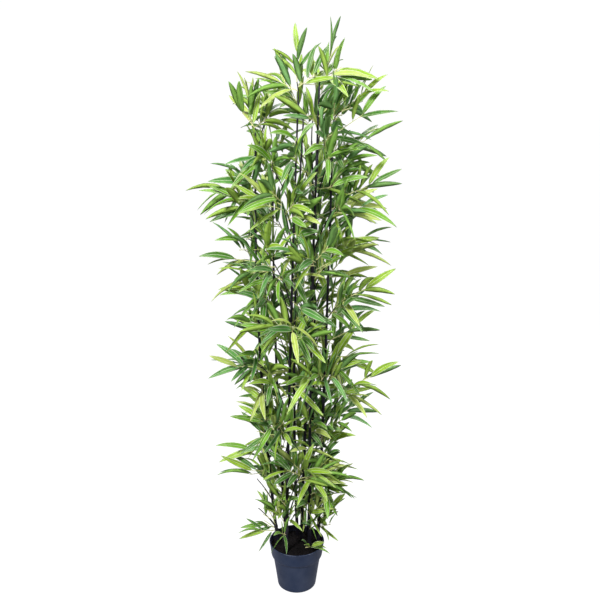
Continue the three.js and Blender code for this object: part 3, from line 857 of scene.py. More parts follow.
def cane_rod(cane):
    heights = np.linspace(CANE_FOOT, cane.height, CANE_STATIONS)
    return [(cane_point(cane, height), cane_radius(cane, height)) for height in heights]


def rod(path, radii, steps):
    """The stations of point and radius along a path, which tapers from one radius to another."""
    return [(path(i / steps), mix(*radii, i / steps)) for i in range(steps + 1)]


def wire_rod(shoot):
    return rod(shoot.curve.at, WIRE_RADII, WIRE_STEPS)


def twig_rod(spray):
    return rod(spray.at, TWIG_RADII, TWIG_STEPS)


def bare_wire_rod(height, length, bearing):
    foot = cane_point(CANES[0], height)
    tip = foot + heading(bearing, BARE_WIRE_LIFT) * length

    def path(share):
        return foot.lerp(tip, share) + UP * (length * BARE_WIRE_SAG * math.sin(math.pi * share))

    return rod(path, WIRE_RADII, BARE_WIRE_STEPS)


def is_twig_clear(spray, shoot, shoots):
    """True if a twig keeps clear of the canes and of the wires of other shoots than its own."""
    wires = [point for other in shoots if other is not shoot for point in other.samples]
    for share in TWIG_TESTS:
        point = spray.at(share)
        if any(point.z < cane.height and meets_cane(point, cane, TWIG_ROOM) for cane in CANES):
            return False
        if any((there - point).length < WIRE_ROOM for there in wires):
            return False
    return True


def is_in_opening(leaf):
    """True if a leaf, seen from the photo's viewpoint, lies where the photo shows sky."""
    for share in OPENING_TESTS:
        point = leaf.at(share)
        seen = VIEWPOINT.lerp(point, VIEWPOINT.y / (VIEWPOINT.y - point.y))
        if any(math.hypot(seen.x - x, seen.z - z) < radius for x, z, radius in OPENINGS):
            return True
    return False


def add_leaf(plant, crown, spray, number, owner):
    """Adds a leaf of a spray at the first try that finds room, or leaves it out."""
    for attempt in range(LEAF_TRIES):
        leaf = leaf_at(spray, number, attempt)
        is_outside = owner and not crown.is_own(leaf.at(OWN_SPACE_TEST), owner)
        if leaf.at(1).z < LOWEST_LEAF or is_outside or is_in_opening(leaf):
            continue
        obstacle = Obstacle.of_leaf(leaf)
        if crown.is_clear(obstacle, spray.seed):
            crown.add(obstacle)
            plant.leaves.append(leaf)
            return


@lru_cache(maxsize=1)
def grow_plant():
    """Grows all the leaves: first the wires, then the twigs, then the leaves that find room."""
    plant = Plant(shoots=lay_out_shoots())
    crown = Crown()
    for cane in CANES:
        crown.add(Obstacle.of_rod(cane_rod(cane)))
    for wire in BARE_WIRES:
        for depth in BARE_WIRE_DEPTHS:
            stations = [(point + SIGHT_LINE * depth, BARE_WIRE_ROOM) for point, _ in bare_wire_rod(*wire)]
            crown.add(Obstacle.of_rod(stations))
    for shoot in plant.shoots:
        crown.add(Obstacle.of_rod(wire_rod(shoot)))
        for point in shoot.samples[::CLAIM_STEP]:
            crown.claim(point, shoot.seed)
    masses = []
    for shoot in plant.shoots:
        end, sides = sprays_of(shoot)
        sprays = [end] + [side for side in sides if is_twig_clear(side, shoot, plant.shoots)]
        for spray in sprays:
            crown.add(Obstacle.of_rod(twig_rod(spray), spray.seed))
            crown.claim(spray.at(1), shoot.seed)
        masses.append((shoot.seed, sprays))
        plant.sprays += sprays
    inner = [spray for spray in inner_sprays() if is_twig_clear(spray, None, plant.shoots)]
    for spray in inner:
        crown.add(Obstacle.of_rod(twig_rod(spray), spray.seed))
    masses.append((None, inner))
    plant.sprays += inner
    for owner, sprays in masses:
        for spray in sprays:
            for number in range(spray.leaf_count):
                add_leaf(plant, crown, spray, number, owner)
    return plant


# Making meshes, nodes and pieces


# What a scattered point or a master's mesh stores for the node trees
STORED = {
    "facing": "QUATERNION", "size": "FLOAT_VECTOR", "form": "INT",
    "hang": "FLOAT", "along": "FLOAT", "zone": "INT",
}


def add_node(tree, kind, inputs=None, to=None, **options):
    """Adds a node with its options, and sets or links its sockets by name or number.

    A node given as an input stands for its first output. The new node's own first output may go to a socket.
    """
    node = tree.nodes.new(kind)
    for name, value in options.items():
        setattr(node, name, value)
    for key, value in (inputs or {}).items():
        if isinstance(value, bpy.types.Node):
            value = value.outputs[0]
        if isinstance(value, bpy.types.NodeSocket):
            tree.links.new(value, node.inputs[key])
        else:
            node.inputs[key].default_value = value
    if to:
        tree.links.new(node.outputs[0], to)
    return node


def mesh_from(name, points, faces, edges=()):
    mesh = bpy.data.meshes.new(name)
    mesh.from_pydata([tuple(point) for point in points], list(edges), list(faces))
    mesh.update()
    return mesh


def store(mesh, name, kind, values, domain="POINT"):
    """Stores one value for each point or face of a mesh."""
    attribute = mesh.attributes.new(name, kind, domain)
    attribute.data.foreach_set("vector" if kind == "FLOAT_VECTOR" else "value", np.array(values).ravel())


def finished(name, mesh, nodes, materials=(), is_smooth=True):
    """Puts a mesh in the scene as a piece of the plant that stands for frame nodes."""
    piece = bpy.data.objects.new(name, mesh)
    bpy.context.scene.collection.objects.link(piece)
    for material in materials:
        mesh.materials.append(material)
    if is_smooth:
        mesh.shade_smooth()
    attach(piece, BODY)
    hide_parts(*nodes)
    return piece


def node_names(start):
    """The frame's nodes whose names begin in one way."""
    return sorted(name for name in frame["nodes"] if name.startswith(start))


def grown_mesh(name, source, tree, values):
    """Runs a node tree on a mesh, and gives its result as a plain mesh without what was stored for it."""
    carrier = bpy.data.objects.new(f"{name}_carrier", source)
    modifier = carrier.modifiers.new("Grow", "NODES")
    modifier.node_group = tree
    for item in tree.interface.items_tree:
        if item.item_type == "SOCKET" and item.in_out == "INPUT" and item.name in values:
            modifier[item.identifier] = values[item.name]
    bpy.context.scene.collection.objects.link(carrier)
    evaluated = carrier.evaluated_get(bpy.context.evaluated_depsgraph_get())
    mesh = bpy.data.meshes.new_from_object(evaluated)
    mesh.name = name
    bpy.data.objects.remove(carrier)
    bpy.data.meshes.remove(source)
    for spare in (*STORED, "girth"):
        if spare in mesh.attributes:
            mesh.attributes.remove(mesh.attributes[spare])
    if mesh.materials[0] is None:
        mesh.materials.pop(index=0)
    return mesh


def new_tree(name, sockets):
    """A geometry tree that takes and gives geometry, and its inputs by name: kind and default of each."""
    tree = bpy.data.node_groups.new(name, "GeometryNodeTree")
    tree.interface.new_socket("Geometry", in_out="INPUT", socket_type="NodeSocketGeometry")
    tree.interface.new_socket("Geometry", in_out="OUTPUT", socket_type="NodeSocketGeometry")
    for socket_name, (kind, default) in sockets.items():
        socket = tree.interface.new_socket(socket_name, in_out="INPUT", socket_type=kind)
        if default is not None:
            socket.default_value = default
    entry = add_node(tree, "NodeGroupInput")
    return tree, entry


def rod_tree():
    """Sweeps a round along every edge path, as thick as the girth stored at each point."""
    tree, entry = new_tree("rods", {
        "Sides": ("NodeSocketInt", WIRE_SIDES), "Material": ("NodeSocketMaterial", None),
    })
    girth = add_node(tree, "GeometryNodeInputNamedAttribute", {"Name": "girth"}, data_type="FLOAT")
    paths = add_node(tree, "GeometryNodeMeshToCurve", {"Mesh": entry})
    sides = entry.outputs["Sides"]
    round_ = add_node(tree, "GeometryNodeCurvePrimitiveCircle", {"Resolution": sides, "Radius": 1.0})
    swept = add_node(tree, "GeometryNodeCurveToMesh", {
        "Curve": paths, "Profile Curve": round_, "Scale": girth, "Fill Caps": True,
    })
    smooth = add_node(tree, "GeometryNodeSetShadeSmooth", {"Geometry": swept})
    whole = add_node(tree, "GeometryNodeRealizeInstances", {"Geometry": smooth})
    material = entry.outputs["Material"]
    painted = add_node(tree, "GeometryNodeSetMaterial", {"Geometry": whole, "Material": material})
    add_node(tree, "NodeGroupOutput", {"Geometry": painted})
    return tree


def scatter_tree(name, zones):
    """Puts a master on every point, by the facing, size and form stored there, and lets it hang.

    The material of each zone of the masters is an input of its own.
    """
    sockets = {"Masters": ("NodeSocketCollection", None)}
    sockets.update({zone: ("NodeSocketMaterial", None) for zone in zones})
    tree, entry = new_tree(name, sockets)
    stored = {
        key: add_node(tree, "GeometryNodeInputNamedAttribute", {"Name": key}, data_type=kind)
        for key, kind in STORED.items()
    }
    masters = add_node(tree, "GeometryNodeCollectionInfo", {
        "Collection": entry.outputs["Masters"], "Separate Children": True, "Reset Children": True,
    })
    placed = add_node(tree, "GeometryNodeInstanceOnPoints", {
        "Points": entry, "Instance": masters, "Pick Instance": True, "Instance Index": stored["form"],
        "Rotation": stored["facing"], "Scale": stored["size"],
    })
    whole = add_node(tree, "GeometryNodeRealizeInstances", {"Geometry": placed})
    square = add_node(tree, "ShaderNodeMath", {0: stored["along"], 1: stored["along"]}, operation="MULTIPLY")
    fall = add_node(tree, "ShaderNodeMath", {0: square, 1: stored["hang"]}, operation="MULTIPLY")
    down = add_node(tree, "ShaderNodeMath", {0: fall, 1: -1.0}, operation="MULTIPLY")
    offset = add_node(tree, "ShaderNodeCombineXYZ", {"Z": down})
    result = add_node(tree, "GeometryNodeSetPosition", {"Geometry": whole, "Offset": offset})
    for number, zone in enumerate(zones):
        is_zone = add_node(
            tree, "FunctionNodeCompare", {2: stored["zone"], 3: number}, data_type="INT", operation="EQUAL",
        )
        result = add_node(tree, "GeometryNodeSetMaterial", {
            "Geometry": result, "Selection": is_zone, "Material": entry.outputs[zone],
        })
    add_node(tree, "NodeGroupOutput", {"Geometry": result})
    return tree


def rods_mesh(name, rods, sides, material):
    """Swept rods, each given as its stations of point and radius, as one mesh."""
    points = [point for stations in rods for point, _ in stations]
    edges = []
    start = 0
    for stations in rods:
        edges += [(start + i, start + i + 1) for i in range(len(stations) - 1)]
        start += len(stations)
    paths = mesh_from(f"{name}_paths", points, (), edges)
    store(paths, "girth", "FLOAT", [radius for stations in rods for _, radius in stations])
    return grown_mesh(name, paths, rod_tree(), {"Sides": sides, "Material": material})


def scattered_mesh(name, masters, places, zones):
    """Masters at places, each of which is a point, a facing, a size, the number of a form and a hang."""
    points = mesh_from(f"{name}_points", [place[0] for place in places], ())
    for number, key in enumerate(("facing", "size", "form", "hang"), start=1):
        store(points, key, STORED[key], [place[number] for place in places])
    collection = bpy.data.collections.new(f"{name}_masters")
    for i, mesh in enumerate(masters):
        collection.objects.link(bpy.data.objects.new(f"{name}_master_{i:02d}", mesh))
    mesh = grown_mesh(name, points, scatter_tree(name, list(zones)), {"Masters": collection, **zones})
    for master in list(collection.objects):
        bpy.data.objects.remove(master)
    bpy.data.collections.remove(collection)
    return mesh


def turned_mesh(name, profile, segments, shape=None, is_open=False):
    """A body of revolution from a profile of radius and height that starts on the axis.

    It ends there too, unless the body is open. The shape, where there is one, moves each point.
    """
    rings = profile[1:] if is_open else profile[1:-1]
    points = [(0, 0, profile[0][1])]
    for radius, height in rings:
        for k in range(segments):
            angle = 2 * math.pi * k / segments
            points.append((radius * math.cos(angle), radius * math.sin(angle), height))
    faces = [(0, 1 + (k + 1) % segments, 1 + k) for k in range(segments)]
    for row in range(len(rings) - 1):
        faces += band(1 + row * segments, 1 + (row + 1) * segments, segments)
    if not is_open:
        top = len(points) - segments
        faces += [(top + k, top + (k + 1) % segments, len(points)) for k in range(segments)]
        points.append((0, 0, profile[-1][1]))
    if shape:
        points = [shape(Vector(point)) for point in points]
    return mesh_from(name, points, faces)


# Materials. Each starts from what the real one is and how its surface was made.


BLACK = (0, 0, 0, 1)
WHITE = (1, 1, 1, 1)


def new_material(name, colour, roughness, ior=1.5, **sockets):
    """A material whose surface has one colour, roughness and index, and whatever other sockets are named.

    It comes with its tree, the inputs of its surface, and the object's own coordinates.
    """
    material = bpy.data.materials.new(name)
    material.use_nodes = True
    tree = material.node_tree
    face = tree.nodes["Principled BSDF"].inputs
    for key, value in {"Base Color": colour, "Roughness": roughness, "IOR": ior, **sockets}.items():
        face[key.replace("_", " ")].default_value = value
    return material, tree, face, add_node(tree, "ShaderNodeTexCoord").outputs["Object"]


def two_toned(tree, face, pattern, limits, dark, light):
    """Colours a surface from dark to light, as a pattern rises from one limit to the other."""
    low, high = limits
    share = add_node(tree, "ShaderNodeMapRange", {"Value": pattern, "From Min": low, "From Max": high})
    paint = add_node(tree, "ShaderNodeMix", {0: share, 6: dark, 7: light}, data_type="RGBA").outputs[2]
    tree.links.new(paint, face["Base Color"])
    return paint


def wave_scale(spacing):
    """The scale at which a wave texture's bands are so many metres apart."""
    return 2 * math.pi / (20 * spacing)


def moulded_polypropylene():
    """Polypropylene from a mould: satin, a little dusty, with a spark-eroded grain and cloudy flow marks."""
    colour = settings("bamboo_finishes").pot
    material, tree, face, place = new_material(
        "moulded_polypropylene", colour, 0.40, 1.49,
        Sheen_Weight=0.32, Sheen_Roughness=0.30, Sheen_Tint=linear("#8a86b8"),
    )
    # Flow marks are some 50 mm across, scuffs 9 mm. The grain's 0.4 mm grit is drawn at 1.1 mm.
    flow = add_node(tree, "ShaderNodeTexNoise", {"Vector": place, "Scale": 1 / 0.05, "Detail": 3.0})
    scuff = add_node(tree, "ShaderNodeTexNoise", {"Vector": place, "Scale": 1 / 0.009, "Detail": 4.0})
    grain = add_node(tree, "ShaderNodeTexNoise", {"Vector": place, "Scale": 1 / 0.0011, "Detail": 1.0})
    paint = two_toned(tree, face, flow, (0.3, 0.7), mixed(colour, BLACK, 0.14), mixed(colour, WHITE, 0.018))
    # Painted shade: the inside of the collar is darkened towards the filling's colour by the share stored at
    # each point
    stain = add_node(tree, "ShaderNodeAttribute", attribute_name="stain").outputs["Fac"]
    shade_colour = settings("bamboo_finishes").filling
    with_painted_shade = add_node(tree, "ShaderNodeMix", {0: stain, 6: paint, 7: shade_colour}, data_type="RGBA")
    tree.links.new(with_painted_shade.outputs[2], face["Base Color"])
    add_node(tree, "ShaderNodeMapRange", {
        "Value": scuff, "From Min": 0.3, "From Max": 0.75, "To Min": 0.33, "To Max": 0.48,
    }, face["Roughness"])
    add_node(tree, "ShaderNodeBump", {"Height": grain, "Distance": 0.00012, "Strength": 0.6}, face["Normal"])
    return material


def crumbly_cement():
    """Dark cement mix that the canes are set in: matt, nearly black, crumbled on top, with browner crumbs."""
    colour = settings("bamboo_finishes").filling
    material, tree, face, place = new_material("crumbly_cement", colour, 0.93, Specular_IOR_Level=0.12)
    # Crumbs 5 mm and dust 1.2 mm across
    crumb = add_node(tree, "ShaderNodeTexNoise", {"Vector": place, "Scale": 1 / 0.005, "Detail": 5.0})
    dust = add_node(tree, "ShaderNodeTexNoise", {"Vector": place, "Scale": 1 / 0.0012, "Detail": 2.0})
    brown = mixed(colour, linear("#4a3a2c"), 0.09)
    two_toned(tree, face, crumb, (0.38, 0.72), mixed(colour, BLACK, 0.45), brown)
    both = add_node(tree, "ShaderNodeMath", {0: crumb, 1: dust}, operation="ADD")
    add_node(tree, "ShaderNodeBump", {"Height": both, "Distance": 0.0012, "Strength": 0.8}, face["Normal"])
    return material


def lacquered_cane():
    """Black lacquer over cane: a soft sheen on long fibres, greyer where it is thin at the nodes."""
    colour = settings("bamboo_finishes").cane
    material, tree, face, place = new_material("lacquered_cane", colour, 0.38, 1.52, Specular_IOR_Level=0.25)
    # Fibres are about 1.2 mm wide and 40 mm long
    fibre_size = (1 / 0.0012, 1 / 0.0012, 1 / 0.04)
    stretch = add_node(tree, "ShaderNodeMapping", {"Vector": place, "Scale": fibre_size})
    fibre = add_node(tree, "ShaderNodeTexNoise", {"Vector": stretch, "Scale": 1.0, "Detail": 3.0})
    ring = add_node(tree, "ShaderNodeAttribute", attribute_name="ring").outputs["Fac"]
    streak = add_node(tree, "ShaderNodeMapRange", {
        "Value": fibre, "From Min": 0.35, "From Max": 0.7, "To Min": 0.0, "To Max": 0.55,
    })
    worn = add_node(tree, "ShaderNodeMath", {0: streak, 1: ring}, operation="ADD", use_clamp=True)
    grey = mixed(colour, linear("#4c465a"), 0.30)
    paint = add_node(tree, "ShaderNodeMix", {0: worn, 6: colour, 7: grey}, data_type="RGBA")
    tree.links.new(paint.outputs[2], face["Base Color"])
    add_node(tree, "ShaderNodeBump", {"Height": fibre, "Distance": 0.0002, "Strength": 0.5}, face["Normal"])
    return material


def coated_wire():
    """Steel wire in black PVC: smooth, with slight ripples from the extruder, some 3 mm long."""
    colour = settings("bamboo_finishes").wire
    material, tree, face, place = new_material("coated_wire", colour, 0.42, 1.53, Specular_IOR_Level=0.25)
    ripple = add_node(tree, "ShaderNodeTexNoise", {"Vector": place, "Scale": 1 / 0.003, "Detail": 2.0})
    add_node(tree, "ShaderNodeMapRange", {"Value": ripple, "To Min": 0.34, "To Max": 0.52}, face["Roughness"])
    add_node(tree, "ShaderNodeBump", {"Height": ripple, "Distance": 0.0002, "Strength": 0.5}, face["Normal"])
    return material


def moulded_polyethylene():
    """Soft polyethylene twigs: waxy and pale, a little greener here and yellower there."""
    colour = settings("bamboo_finishes").twig
    material, tree, face, place = new_material("moulded_polyethylene", colour, 0.45, 1.51)
    # The colour drifts over some 30 mm
    drift = add_node(tree, "ShaderNodeTexNoise", {"Vector": place, "Scale": 1 / 0.03, "Detail": 2.0})
    green, yellow = mixed(colour, linear("#7f9a4a"), 0.5), mixed(colour, linear("#e3dfb2"), 0.5)
    two_toned(tree, face, drift, (0.35, 0.65), green, yellow)
    return material


def woven_polyester(name, colour, roughness):
    """Polyester cloth, printed and pressed hot into a leaf: a low sheen, parallel veins and a fine weave."""
    name = f"woven_polyester_{name}"
    material, tree, face, place = new_material(name, colour, roughness, Specular_IOR_Level=0.30)
    flat = place.node.outputs["UV"]
    # Printed streaks are about 1.7 mm wide and 40 mm long, and the pressed veins 1.9 mm apart. The 0.4 mm
    # weave is drawn at 1.1 mm to show.
    stretch = add_node(tree, "ShaderNodeMapping", {"Vector": flat, "Scale": (1 / 0.0017, 1 / 0.04, 1.0)})
    streaks = add_node(tree, "ShaderNodeTexNoise", {"Vector": stretch, "Scale": 1.0, "Detail": 2.0})
    veins = add_node(tree, "ShaderNodeTexWave", {
        "Vector": flat, "Scale": wave_scale(0.0019), "Distortion": 0.4, "Detail": 1.0,
    }, bands_direction="X").outputs["Fac"]
    threads = add_node(tree, "ShaderNodeTexWave", {
        "Vector": flat, "Scale": wave_scale(0.0011), "Distortion": 0.2,
    }, bands_direction="Y").outputs["Fac"]
    # The print is uneven over some 25 mm
    print_ = add_node(tree, "ShaderNodeTexNoise", {"Vector": place, "Scale": 1 / 0.025, "Detail": 3.0})
    both = add_node(tree, "ShaderNodeMath", {0: print_, 1: streaks}, operation="ADD")
    light = mixed(colour, linear("#e2ec9c"), 0.09)
    two_toned(tree, face, both, (0.7, 1.3), mixed(colour, BLACK, 0.30), light)
    weave = add_node(tree, "ShaderNodeBump", {"Height": threads, "Distance": 0.00008, "Strength": 0.5})
    add_node(tree, "ShaderNodeBump", {
        "Height": veins, "Distance": 0.00035, "Strength": 0.8, "Normal": weave,
    }, face["Normal"])
    return material


def studio_paper():
    """White background paper: matt, with hardly any tooth, some 4 mm across."""
    material, tree, face, place = new_material(
        "studio_paper", linear("#505050"), 0.9,
        Specular_IOR_Level=0.0, Emission_Color=WHITE, Emission_Strength=PAPER_GLOW,
    )
    tooth = add_node(tree, "ShaderNodeTexNoise", {"Vector": place, "Scale": 1 / 0.004, "Detail": 2.0})
    add_node(tree, "ShaderNodeBump", {"Height": tooth, "Distance": 0.0001, "Strength": 0.2}, face["Normal"])
    return material


# The pieces


def pot_profile(sizes):
    """The pot from the middle of its underside, up the outside, over the rim and down the inside."""
    rim, wall, roll = sizes.rim_radius, sizes.wall, sizes.rim_roll
    top = POT_HEIGHT
    lip = [
        (rim - roll + roll * math.cos(turn), top - roll + roll * math.sin(turn))
        for turn in np.linspace(-math.pi / 3, math.pi, LIP_POINTS)
    ]
    return [
        (0, 0.002), (0.020, 0.002), (0.050, 0.002), (0.052, 0.0004), (0.053, 0.0),
        (FOOT_RADIUS - 0.005, 0.0), (FOOT_RADIUS - 0.0022, 0.0007), (FOOT_RADIUS - 0.0006, 0.0024),
        (FOOT_RADIUS, 0.005), (FOOT_RADIUS + 0.0004, 0.008),
        (mix(FOOT_RADIUS, BODY_TOP_RADIUS, 0.5), mix(0.005, COLLAR_FOOT, 0.5)),
        (BODY_TOP_RADIUS - 0.0006, COLLAR_FOOT - 0.008), (BODY_TOP_RADIUS, COLLAR_FOOT - 0.003),
        (BODY_TOP_RADIUS + 0.0008, COLLAR_FOOT - 0.0012), (COLLAR_FOOT_RADIUS - 0.0012, COLLAR_FOOT - 0.0004),
        (COLLAR_FOOT_RADIUS, COLLAR_FOOT + 0.0004), (COLLAR_FOOT_RADIUS + 0.0006, COLLAR_FOOT + 0.0018),
        (COLLAR_FOOT_RADIUS + 0.0014, COLLAR_FOOT + 0.006),
        (mix(COLLAR_FOOT_RADIUS, rim, 0.5), mix(COLLAR_FOOT, top, 0.5)),
        (rim - 0.0022, top - 0.010), (rim - 0.0013, top - 0.0065), (rim - 0.0006, top - 0.0042),
        *lip,
        (rim - wall - 0.0012, top - 0.004), (rim - wall - 0.0022, top - 0.010),
        (COLLAR_FOOT_RADIUS - wall, COLLAR_FOOT), (BODY_TOP_RADIUS - wall, COLLAR_FOOT - 0.002),
        (FOOT_RADIUS - wall, POT_FLOOR), (0.030, POT_FLOOR), (0, POT_FLOOR),
    ]


def collar_radius(height, sizes):
    """The outer radius of the pot's collar at a height."""
    return mix(COLLAR_FOOT_RADIUS, sizes.rim_radius, (height - COLLAR_FOOT) / (POT_HEIGHT - COLLAR_FOOT))


def painted_shade_at(point, sizes):
    """How much painted shade darkens the pot towards the filling's colour: the inside of its collar, but for
    the lip.
    """
    is_in_painted_shade = COLLAR_FOOT < point.z < POT_HEIGHT - UNSHADED_LIP
    is_inside = point.xy.length < collar_radius(point.z, sizes) - sizes.wall / 2
    return WALL_PAINTED_SHADE if is_in_painted_shade and is_inside else 0.0


class BAMBOO_OT_pot(bpy.types.Operator):
    """Makes the nursery pot with its deep collar and rolled rim"""

    bl_idname = "bamboo.pot"
    bl_label = "Pot"

    def execute(self, context):
        sizes = settings("bamboo_pot")
        mesh = turned_mesh("nursery_pot", pot_profile(sizes), POT_SEGMENTS)
        # Painted shade on the inside of the collar, stored at each point for the material
        store(mesh, "stain", "FLOAT", [painted_shade_at(vertex.co, sizes) for vertex in mesh.vertices])
        finished("nursery_pot", mesh, ["pot"], [moulded_polypropylene()])
        return {"FINISHED"}


def filling_height(x, y):
    """The height of the filling's surface: it heaps a little, sinks towards the wall and is lumpy."""
    height = FILLING_TOP + HEAP * math.cos(math.hypot(x, y) / HEAP_RADIUS * math.pi / 2)
    for relief, width, level in FILLING_RELIEF:
        height += relief * noise.noise(Vector((x, y, level)) / width)
    return height


def filling_edge(sizes):
    """The radius at which the filling meets the pot's inner wall."""
    return collar_radius(FILLING_TOP, sizes) - sizes.wall


class BAMBOO_OT_filling(bpy.types.Operator):
    """Makes the cement mix that fills the pot, with crumbs on top"""

    bl_idname = "bamboo.filling"
    bl_label = "Filling"

    def execute(self, context):
        sizes = settings("bamboo_pot")
        edge = filling_edge(sizes)
        profile = [
            (0, FILLING_BOTTOM), (FILLING_BOTTOM_RADIUS, FILLING_BOTTOM),
            (BODY_TOP_RADIUS - sizes.wall - 0.001, COLLAR_FOOT - 0.002), (edge - 0.0008, FILLING_TOP - 0.004),
        ]
        profile += [(edge * (1 - i / FILLING_RINGS), FILLING_TOP) for i in range(FILLING_RINGS + 1)]

        def heaped(point):
            if point.z >= FILLING_TOP - 1e-6:
                point.z = filling_height(point.x, point.y)
            return point

        material = crumbly_cement()
        mesh = turned_mesh("filling_mix", profile, FILLING_SEGMENTS, heaped)
        finished("filling_mix", mesh, ["filling"], [material])

        draw = random_from(LUMP_SEED)
        places = []
        for i in range(LUMPS):
            away = (edge - LUMP_EDGE_ROOM) * math.sqrt((i + 0.5) / LUMPS)
            angle = i * math.pi * (3 - math.sqrt(5)) + draw(-LUMP_STRAY, LUMP_STRAY)
            x, y = away * math.cos(angle), away * math.sin(angle)
            turn = Quaternion((draw(-1, 1), draw(-1, 1), draw(-1, 1), draw(-1, 1))).normalized()
            width = sizes.lump_size * draw(*LUMP_WIDTHS) ** 2
            size = (width * draw(*LUMP_LENGTHS), width, width * draw(*LUMP_HEIGHTS))
            place = (x, y, filling_height(x, y) + width * LUMP_RISE)
            places.append((place, turn, size, i % LUMP_FORMS, 0.0))
        masters = [lump_master(number) for number in range(LUMP_FORMS)]
        mesh = scattered_mesh("filling_lumps", masters, places, {"Lump": material})
        finished("filling_lumps", mesh, ["filling"], is_smooth=False)
        return {"FINISHED"}


def lump_master(number):
    """A crumb of the mix about one unit wide: a ball of twenty faces, pushed out of shape."""
    draw = random_from(LUMP_FORM_SEED + number)
    ball = bmesh.new()
    bmesh.ops.create_icosphere(ball, subdivisions=1, radius=0.5)
    for vertex in ball.verts:
        vertex.co *= draw(*LUMP_DENTS)
    mesh = bpy.data.meshes.new(f"lump_{number}")
    ball.to_mesh(mesh)
    ball.free()
    store(mesh, "zone", "INT", [0] * len(mesh.polygons), "FACE")
    return mesh


def cane_rings(cane, index):
    """The heights of a cane's rings, with the swell at each and how close it is to a node."""
    sizes = settings("bamboo_canes")
    node = FILLING_TOP + sizes.internode * (FIRST_NODE_AT + NODE_STAGGER * index)
    nodes = []
    while node < cane.height - NODE_BELOW_TIP:
        nodes.append(node)
        node += sizes.internode
    rings = {round(CANE_FOOT, 5): (0.0, 0.0), round(cane.height, 5): (0.0, 0.0)}
    for middle in nodes:
        for offset, share in NODE_PROFILE:
            rings[round(middle + offset, 5)] = (share * sizes.node_swell, 1 - abs(offset) / RING_FADE)
    height = CANE_FOOT + RING_SPACING
    while height < cane.height:
        is_plain = all(abs(height - middle) > NODE_ROOM for middle in nodes)
        if is_plain and cane.height - height > RING_SPACING / 2:
            rings[round(height, 5)] = (0.0, 0.0)
        height += RING_SPACING
    return sorted((height, *values) for height, values in rings.items() if height <= cane.height), nodes


def flute_at(height, angle, nodes):
    """How deep the groove above a node is at a height and an angle: it changes sides from node to node."""
    depth = 0.0
    for i, middle in enumerate(nodes):
        rise = height - middle
        if FLUTE_START < rise < FLUTE_LENGTH:
            off = (angle - i * math.pi + math.pi) % (2 * math.pi) - math.pi
            depth += FLUTE_DEPTH * math.exp(-((off / FLUTE_SPREAD) ** 2)) * (1 - rise / FLUTE_LENGTH)
    return depth


def cane_mesh_parts(cane, index):
    """The points, faces and ring values of one cane: closed at both ends, with relief in its surface."""
    rings, nodes = cane_rings(cane, index)
    points, faces, values = [], [], []
    for height, swell, ring in rings:
        centre = cane_point(cane, height)
        for k in range(CANE_SIDES):
            angle = 2 * math.pi * k / CANE_SIDES
            out = Vector((math.cos(angle), math.sin(angle), 0))
            spot = (out.x * GRAIN_RADIUS, out.y * GRAIN_RADIUS, height / GRAIN_LENGTH + index * GRAIN_STEP)
            grain = CANE_GRAIN * noise.noise(Vector(spot))
            radius = cane_radius(cane, height) * (1 + swell + grain - flute_at(height, angle, nodes))
            points.append(centre + out * radius)
            values.append(max(ring, 0.0))
    for row in range(len(rings) - 1):
        faces += band(row * CANE_SIDES, (row + 1) * CANE_SIDES, CANE_SIDES)
    top = len(points) - CANE_SIDES
    faces.append(tuple(range(CANE_SIDES - 1, -1, -1)))
    faces.append(tuple(range(top, top + CANE_SIDES)))
    return points, faces, values


class BAMBOO_OT_canes(bpy.types.Operator):
    """Makes the eight canes with their nodes, grooves and fibres"""

    bl_idname = "bamboo.canes"
    bl_label = "Canes"

    def execute(self, context):
        points, faces, values = [], [], []
        for index, cane in enumerate(CANES):
            own_points, own_faces, own_values = cane_mesh_parts(cane, index)
            faces += [tuple(corner + len(points) for corner in face) for face in own_faces]
            points += own_points
            values += own_values
        mesh = mesh_from("canes", points, faces)
        store(mesh, "ring", "FLOAT", values)
        finished("canes", mesh, node_names("cane_"), [lacquered_cane()])
        return {"FINISHED"}


class BAMBOO_OT_wires(bpy.types.Operator):
    """Makes the coated wires that leave the canes, with the two bare ones"""

    bl_idname = "bamboo.wires"
    bl_label = "Wires"

    def execute(self, context):
        rods = [wire_rod(shoot) for shoot in grow_plant().shoots]
        rods += [bare_wire_rod(*wire) for wire in BARE_WIRES]
        mesh = rods_mesh("wires", rods, WIRE_SIDES, coated_wire())
        finished("wires", mesh, node_names("bough_"))
        return {"FINISHED"}


class BAMBOO_OT_twigs(bpy.types.Operator):
    """Makes the pale twigs of the sprays and the stalks of their leaves"""

    bl_idname = "bamboo.twigs"
    bl_label = "Twigs"

    def execute(self, context):
        plant = grow_plant()
        rods = [twig_rod(spray) for spray in plant.sprays]
        rods += [list(zip((leaf.foot, leaf.at(STALK_END_AT)), STALK_RADII)) for leaf in plant.leaves]
        mesh = rods_mesh("twigs", rods, TWIG_SIDES, moulded_polyethylene())
        finished("twigs", mesh, node_names("foliage_"))
        return {"FINISHED"}


def leaf_half_width(share):
    """Half the width of a leaf at a share of its length: widest short of the middle, with a slender point."""
    widest = LEAF_BASE_CURVE / (LEAF_BASE_CURVE + LEAF_TIP_CURVE)
    most = widest**LEAF_BASE_CURVE * (1 - widest) ** LEAF_TIP_CURVE
    return 0.5 * share**LEAF_BASE_CURVE * (1 - share) ** LEAF_TIP_CURVE / most


